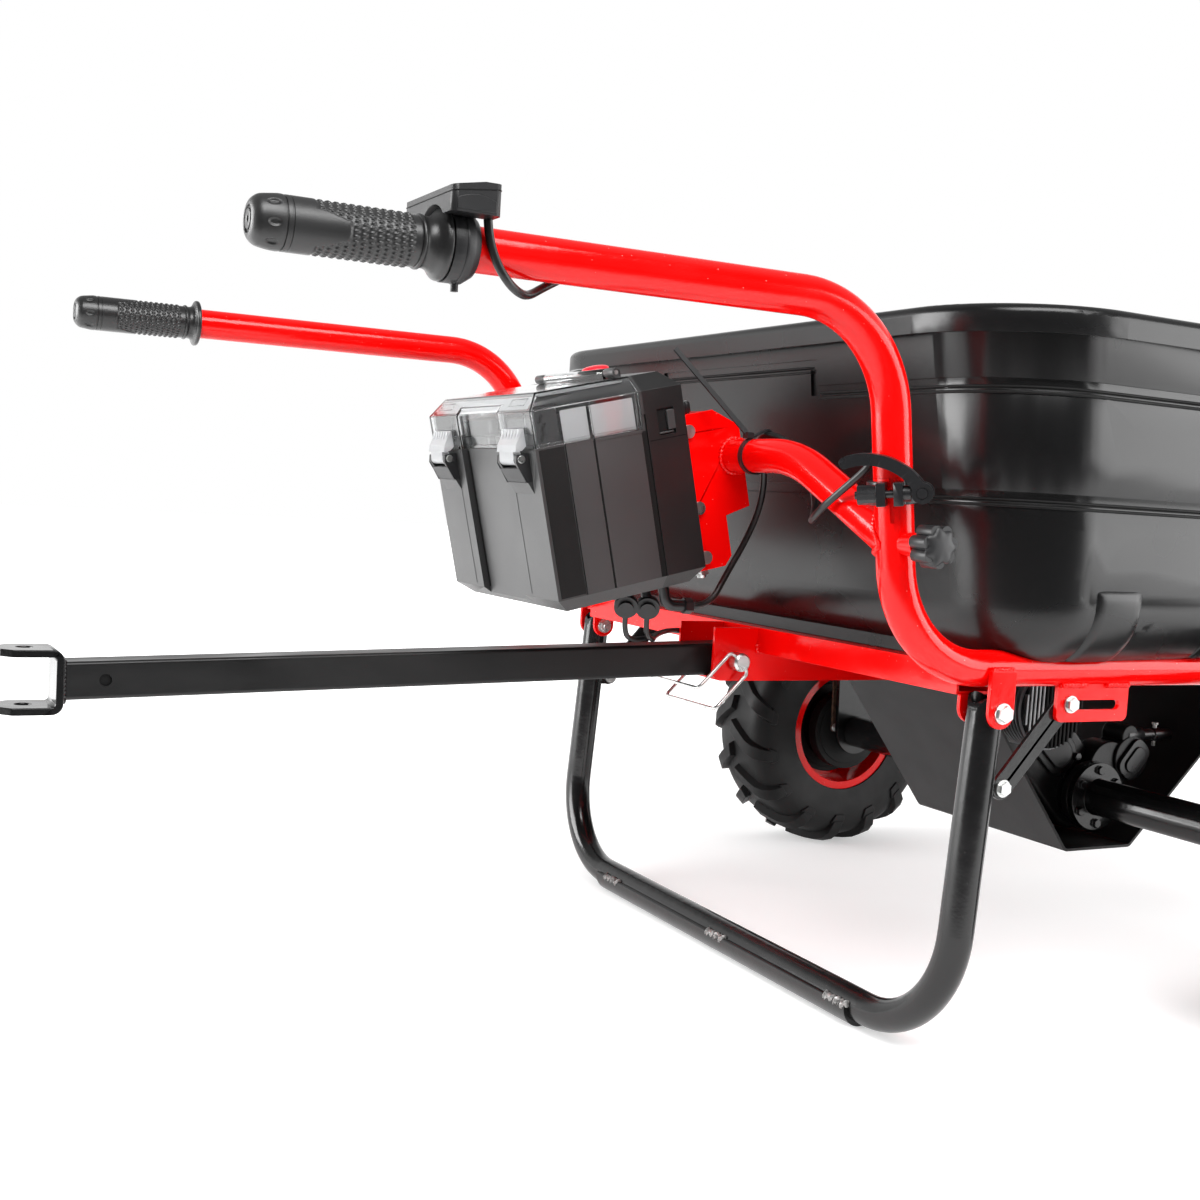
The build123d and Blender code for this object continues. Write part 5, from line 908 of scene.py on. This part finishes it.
# Moulded ridge under the tub's rear edge, by which it rests on the beam
ridge = [([(116, 331.55), (126, 331.55), (125, 339.0), (117, 343.5)], -300, 300, side_frame(0))]
prisms("tub_ridge", ridge, "tub_plastic", "chassis", bevel=0.4)

# Camera's place and directions, as in the photograph
YAW, PITCH, ROLL = (math.radians(a) for a in (-26.877, -4.485, 3.346))
AHEAD = Vector((-math.sin(YAW) * math.cos(PITCH), math.cos(YAW) * math.cos(PITCH), math.sin(PITCH)))
FLAT_AHEAD = Vector((math.sin(-YAW), math.cos(YAW), 0))
CAM = Vector((STEM_X - 0.731762, -1.237064, 0.450448))


# Surroundings: a pale backdrop ahead of the camera, and dimmer light from behind it and above

def joined(tree, how, first, second):
    """Two values, or a value and a number, put through one sum."""
    return wire(tree, "ShaderNodeMath", {0: first, 1: second}, operation=how).outputs[0]


def seen_rays(tree):
    """Share of rays that see the backdrop straight or through clear pieces, and share of glossy rays."""
    path = tree.nodes.new("ShaderNodeLightPath")
    straight = joined(tree, "MAXIMUM", path.outputs["Is Camera Ray"], path.outputs["Is Transmission Ray"])
    return straight, path.outputs["Is Glossy Ray"]


def ranged(tree, value, start, end, low, high):
    """Value eased from one range to another."""
    values = {"From Min": start, "From Max": end, "To Min": low, "To Max": high, "Value": value}
    return wire(tree, "ShaderNodeMapRange", values, interpolation_type="SMOOTHSTEP").outputs["Result"]


world = bpy.data.worlds.new("studio")
scene.world = world
world.use_nodes = True
tree = world.node_tree
around = tree.nodes.new("ShaderNodeTexCoord").outputs["Generated"]
facing = along_axis(tree, around, FLAT_AHEAD)
height = wire(tree, "ShaderNodeSeparateXYZ", {0: around}).outputs["Z"]
straight, glossy = seen_rays(tree)
mirrored = joined(tree, "MULTIPLY", ranged(tree, facing, -0.25, 0.25, 0.10, 1.15),
                  ranged(tree, height, 0.36, 0.62, 1.0, 0.30))
lighting = ranged(tree, facing, -0.6, 0.4, 0.56, 1.0)
for share, value in ((glossy, mirrored), (straight, 1.0)):
    lighting = wire(tree, "ShaderNodeMix", {0: share, 2: lighting, 3: value}).outputs[0]
soft = tree.nodes["Background"]
soft.inputs["Color"].default_value = (1, 1, 1, 1)
tree.links.new(lighting, soft.inputs["Strength"])

# Pale floor, which gives back little light from behind the photographer, as an unlit studio does
FLOOR = 15
UNLIT_GLOW = 0.62
floor_mesh = bpy.data.meshes.new("floor")
floor_mesh.from_pydata([(-FLOOR, -FLOOR, 0), (FLOOR, -FLOOR, 0), (FLOOR, FLOOR, 0), (-FLOOR, FLOOR, 0)], [],
                       [(0, 1, 2, 3)])
floor = bpy.data.objects.new("floor", floor_mesh)
scene.collection.objects.link(floor)
pale = bpy.data.materials.new("pale_floor")
pale.use_nodes = True
tree = pale.node_tree
shader = tree.nodes["Principled BSDF"]
shader.inputs["Roughness"].default_value = 0.9
shader.inputs["Specular IOR Level"].default_value = 0.0
spot = tree.nodes.new("ShaderNodeTexCoord").outputs["Object"]
from_cam = wire(tree, "ShaderNodeVectorMath", {0: spot, 1: CAM}, operation="SUBTRACT").outputs["Vector"]
lit = ranged(tree, along_axis(tree, from_cam, FLAT_AHEAD), 0.1, 0.8, 0.0, 1.0)
tone = wire(tree, "ShaderNodeMix", {0: lit, 6: (0.10, 0.10, 0.10, 1), 7: (0.8, 0.8, 0.8, 1)},
            data_type="RGBA")
tree.links.new(tone.outputs[2], shader.inputs["Base Color"])
away = wire(tree, "ShaderNodeVectorMath", {0: spot}, operation="LENGTH").outputs["Value"]
far = ranged(tree, away, 0.7, 2.6, 0.36, 1.0)
straight, glossy = seen_rays(tree)
share = joined(tree, "MAXIMUM", straight, joined(tree, "MULTIPLY", glossy, lit))
unlit = joined(tree, "SUBTRACT", UNLIT_GLOW, joined(tree, "MULTIPLY", lit, UNLIT_GLOW))
unlit = joined(tree, "MULTIPLY", unlit, straight)
strength = joined(tree, "ADD", joined(tree, "MULTIPLY", far, share), unlit)
glow = wire(tree, "ShaderNodeEmission", {"Strength": strength})
both = wire(tree, "ShaderNodeAddShader", {0: shader.outputs[0], 1: glow.outputs[0]})
tree.links.new(both.outputs[0], tree.nodes["Material Output"].inputs["Surface"])
floor_mesh.materials.append(pale)


def lamp(name, place, target, size, watts):
    """Rectangular softbox that faces a point."""
    data = bpy.data.lights.new(name, "AREA")
    data.shape = "RECTANGLE"
    data.size, data.size_y = size
    data.energy = watts
    made = bpy.data.objects.new(name, data)
    made.location = place
    made.rotation_euler = (Vector(target) - Vector(place)).to_track_quat("-Z", "Y").to_euler()
    scene.collection.objects.link(made)


lamp("top", (-0.5, -1.9, 2.5), (0, 0, 0.35), (2.6, 1.3), 112)
lamp("left", (-2.8, 1.15, 0.9), (0, 0, 0.35), (1.8, 1.6), 108)
lamp("right", (2.5, -2.1, 1.0), (0.2, -0.1, 0.4), (2.0, 1.8), 55)

# Camera: width of the photograph, focal length and optical middle, in the photograph's pixels
PHOTO = 1200
FOCAL = 1483.455
MIDDLE_U, MIDDLE_V = 560.326, 610.539
cam_data = bpy.data.cameras.new("camera")
cam_data.sensor_width = 36
cam_data.lens = FOCAL / PHOTO * cam_data.sensor_width
cam_data.shift_x = (PHOTO / 2 - MIDDLE_U) / PHOTO
cam_data.shift_y = (MIDDLE_V - PHOTO / 2) / PHOTO
cam_data.clip_start = 0.01
cam = bpy.data.objects.new("camera", cam_data)
level = Vector((math.cos(YAW), math.sin(YAW), 0))
above = level.cross(AHEAD)
across = math.cos(ROLL) * level + math.sin(ROLL) * above
upward = math.cos(ROLL) * above - math.sin(ROLL) * level
cam.matrix_world = Matrix.LocRotScale(CAM, Matrix((across, upward, -AHEAD)).transposed(), Vector((1, 1, 1)))
scene.collection.objects.link(cam)
scene.camera = cam
scene.view_settings.view_transform = "Standard"

bpy.context.view_layer.update()
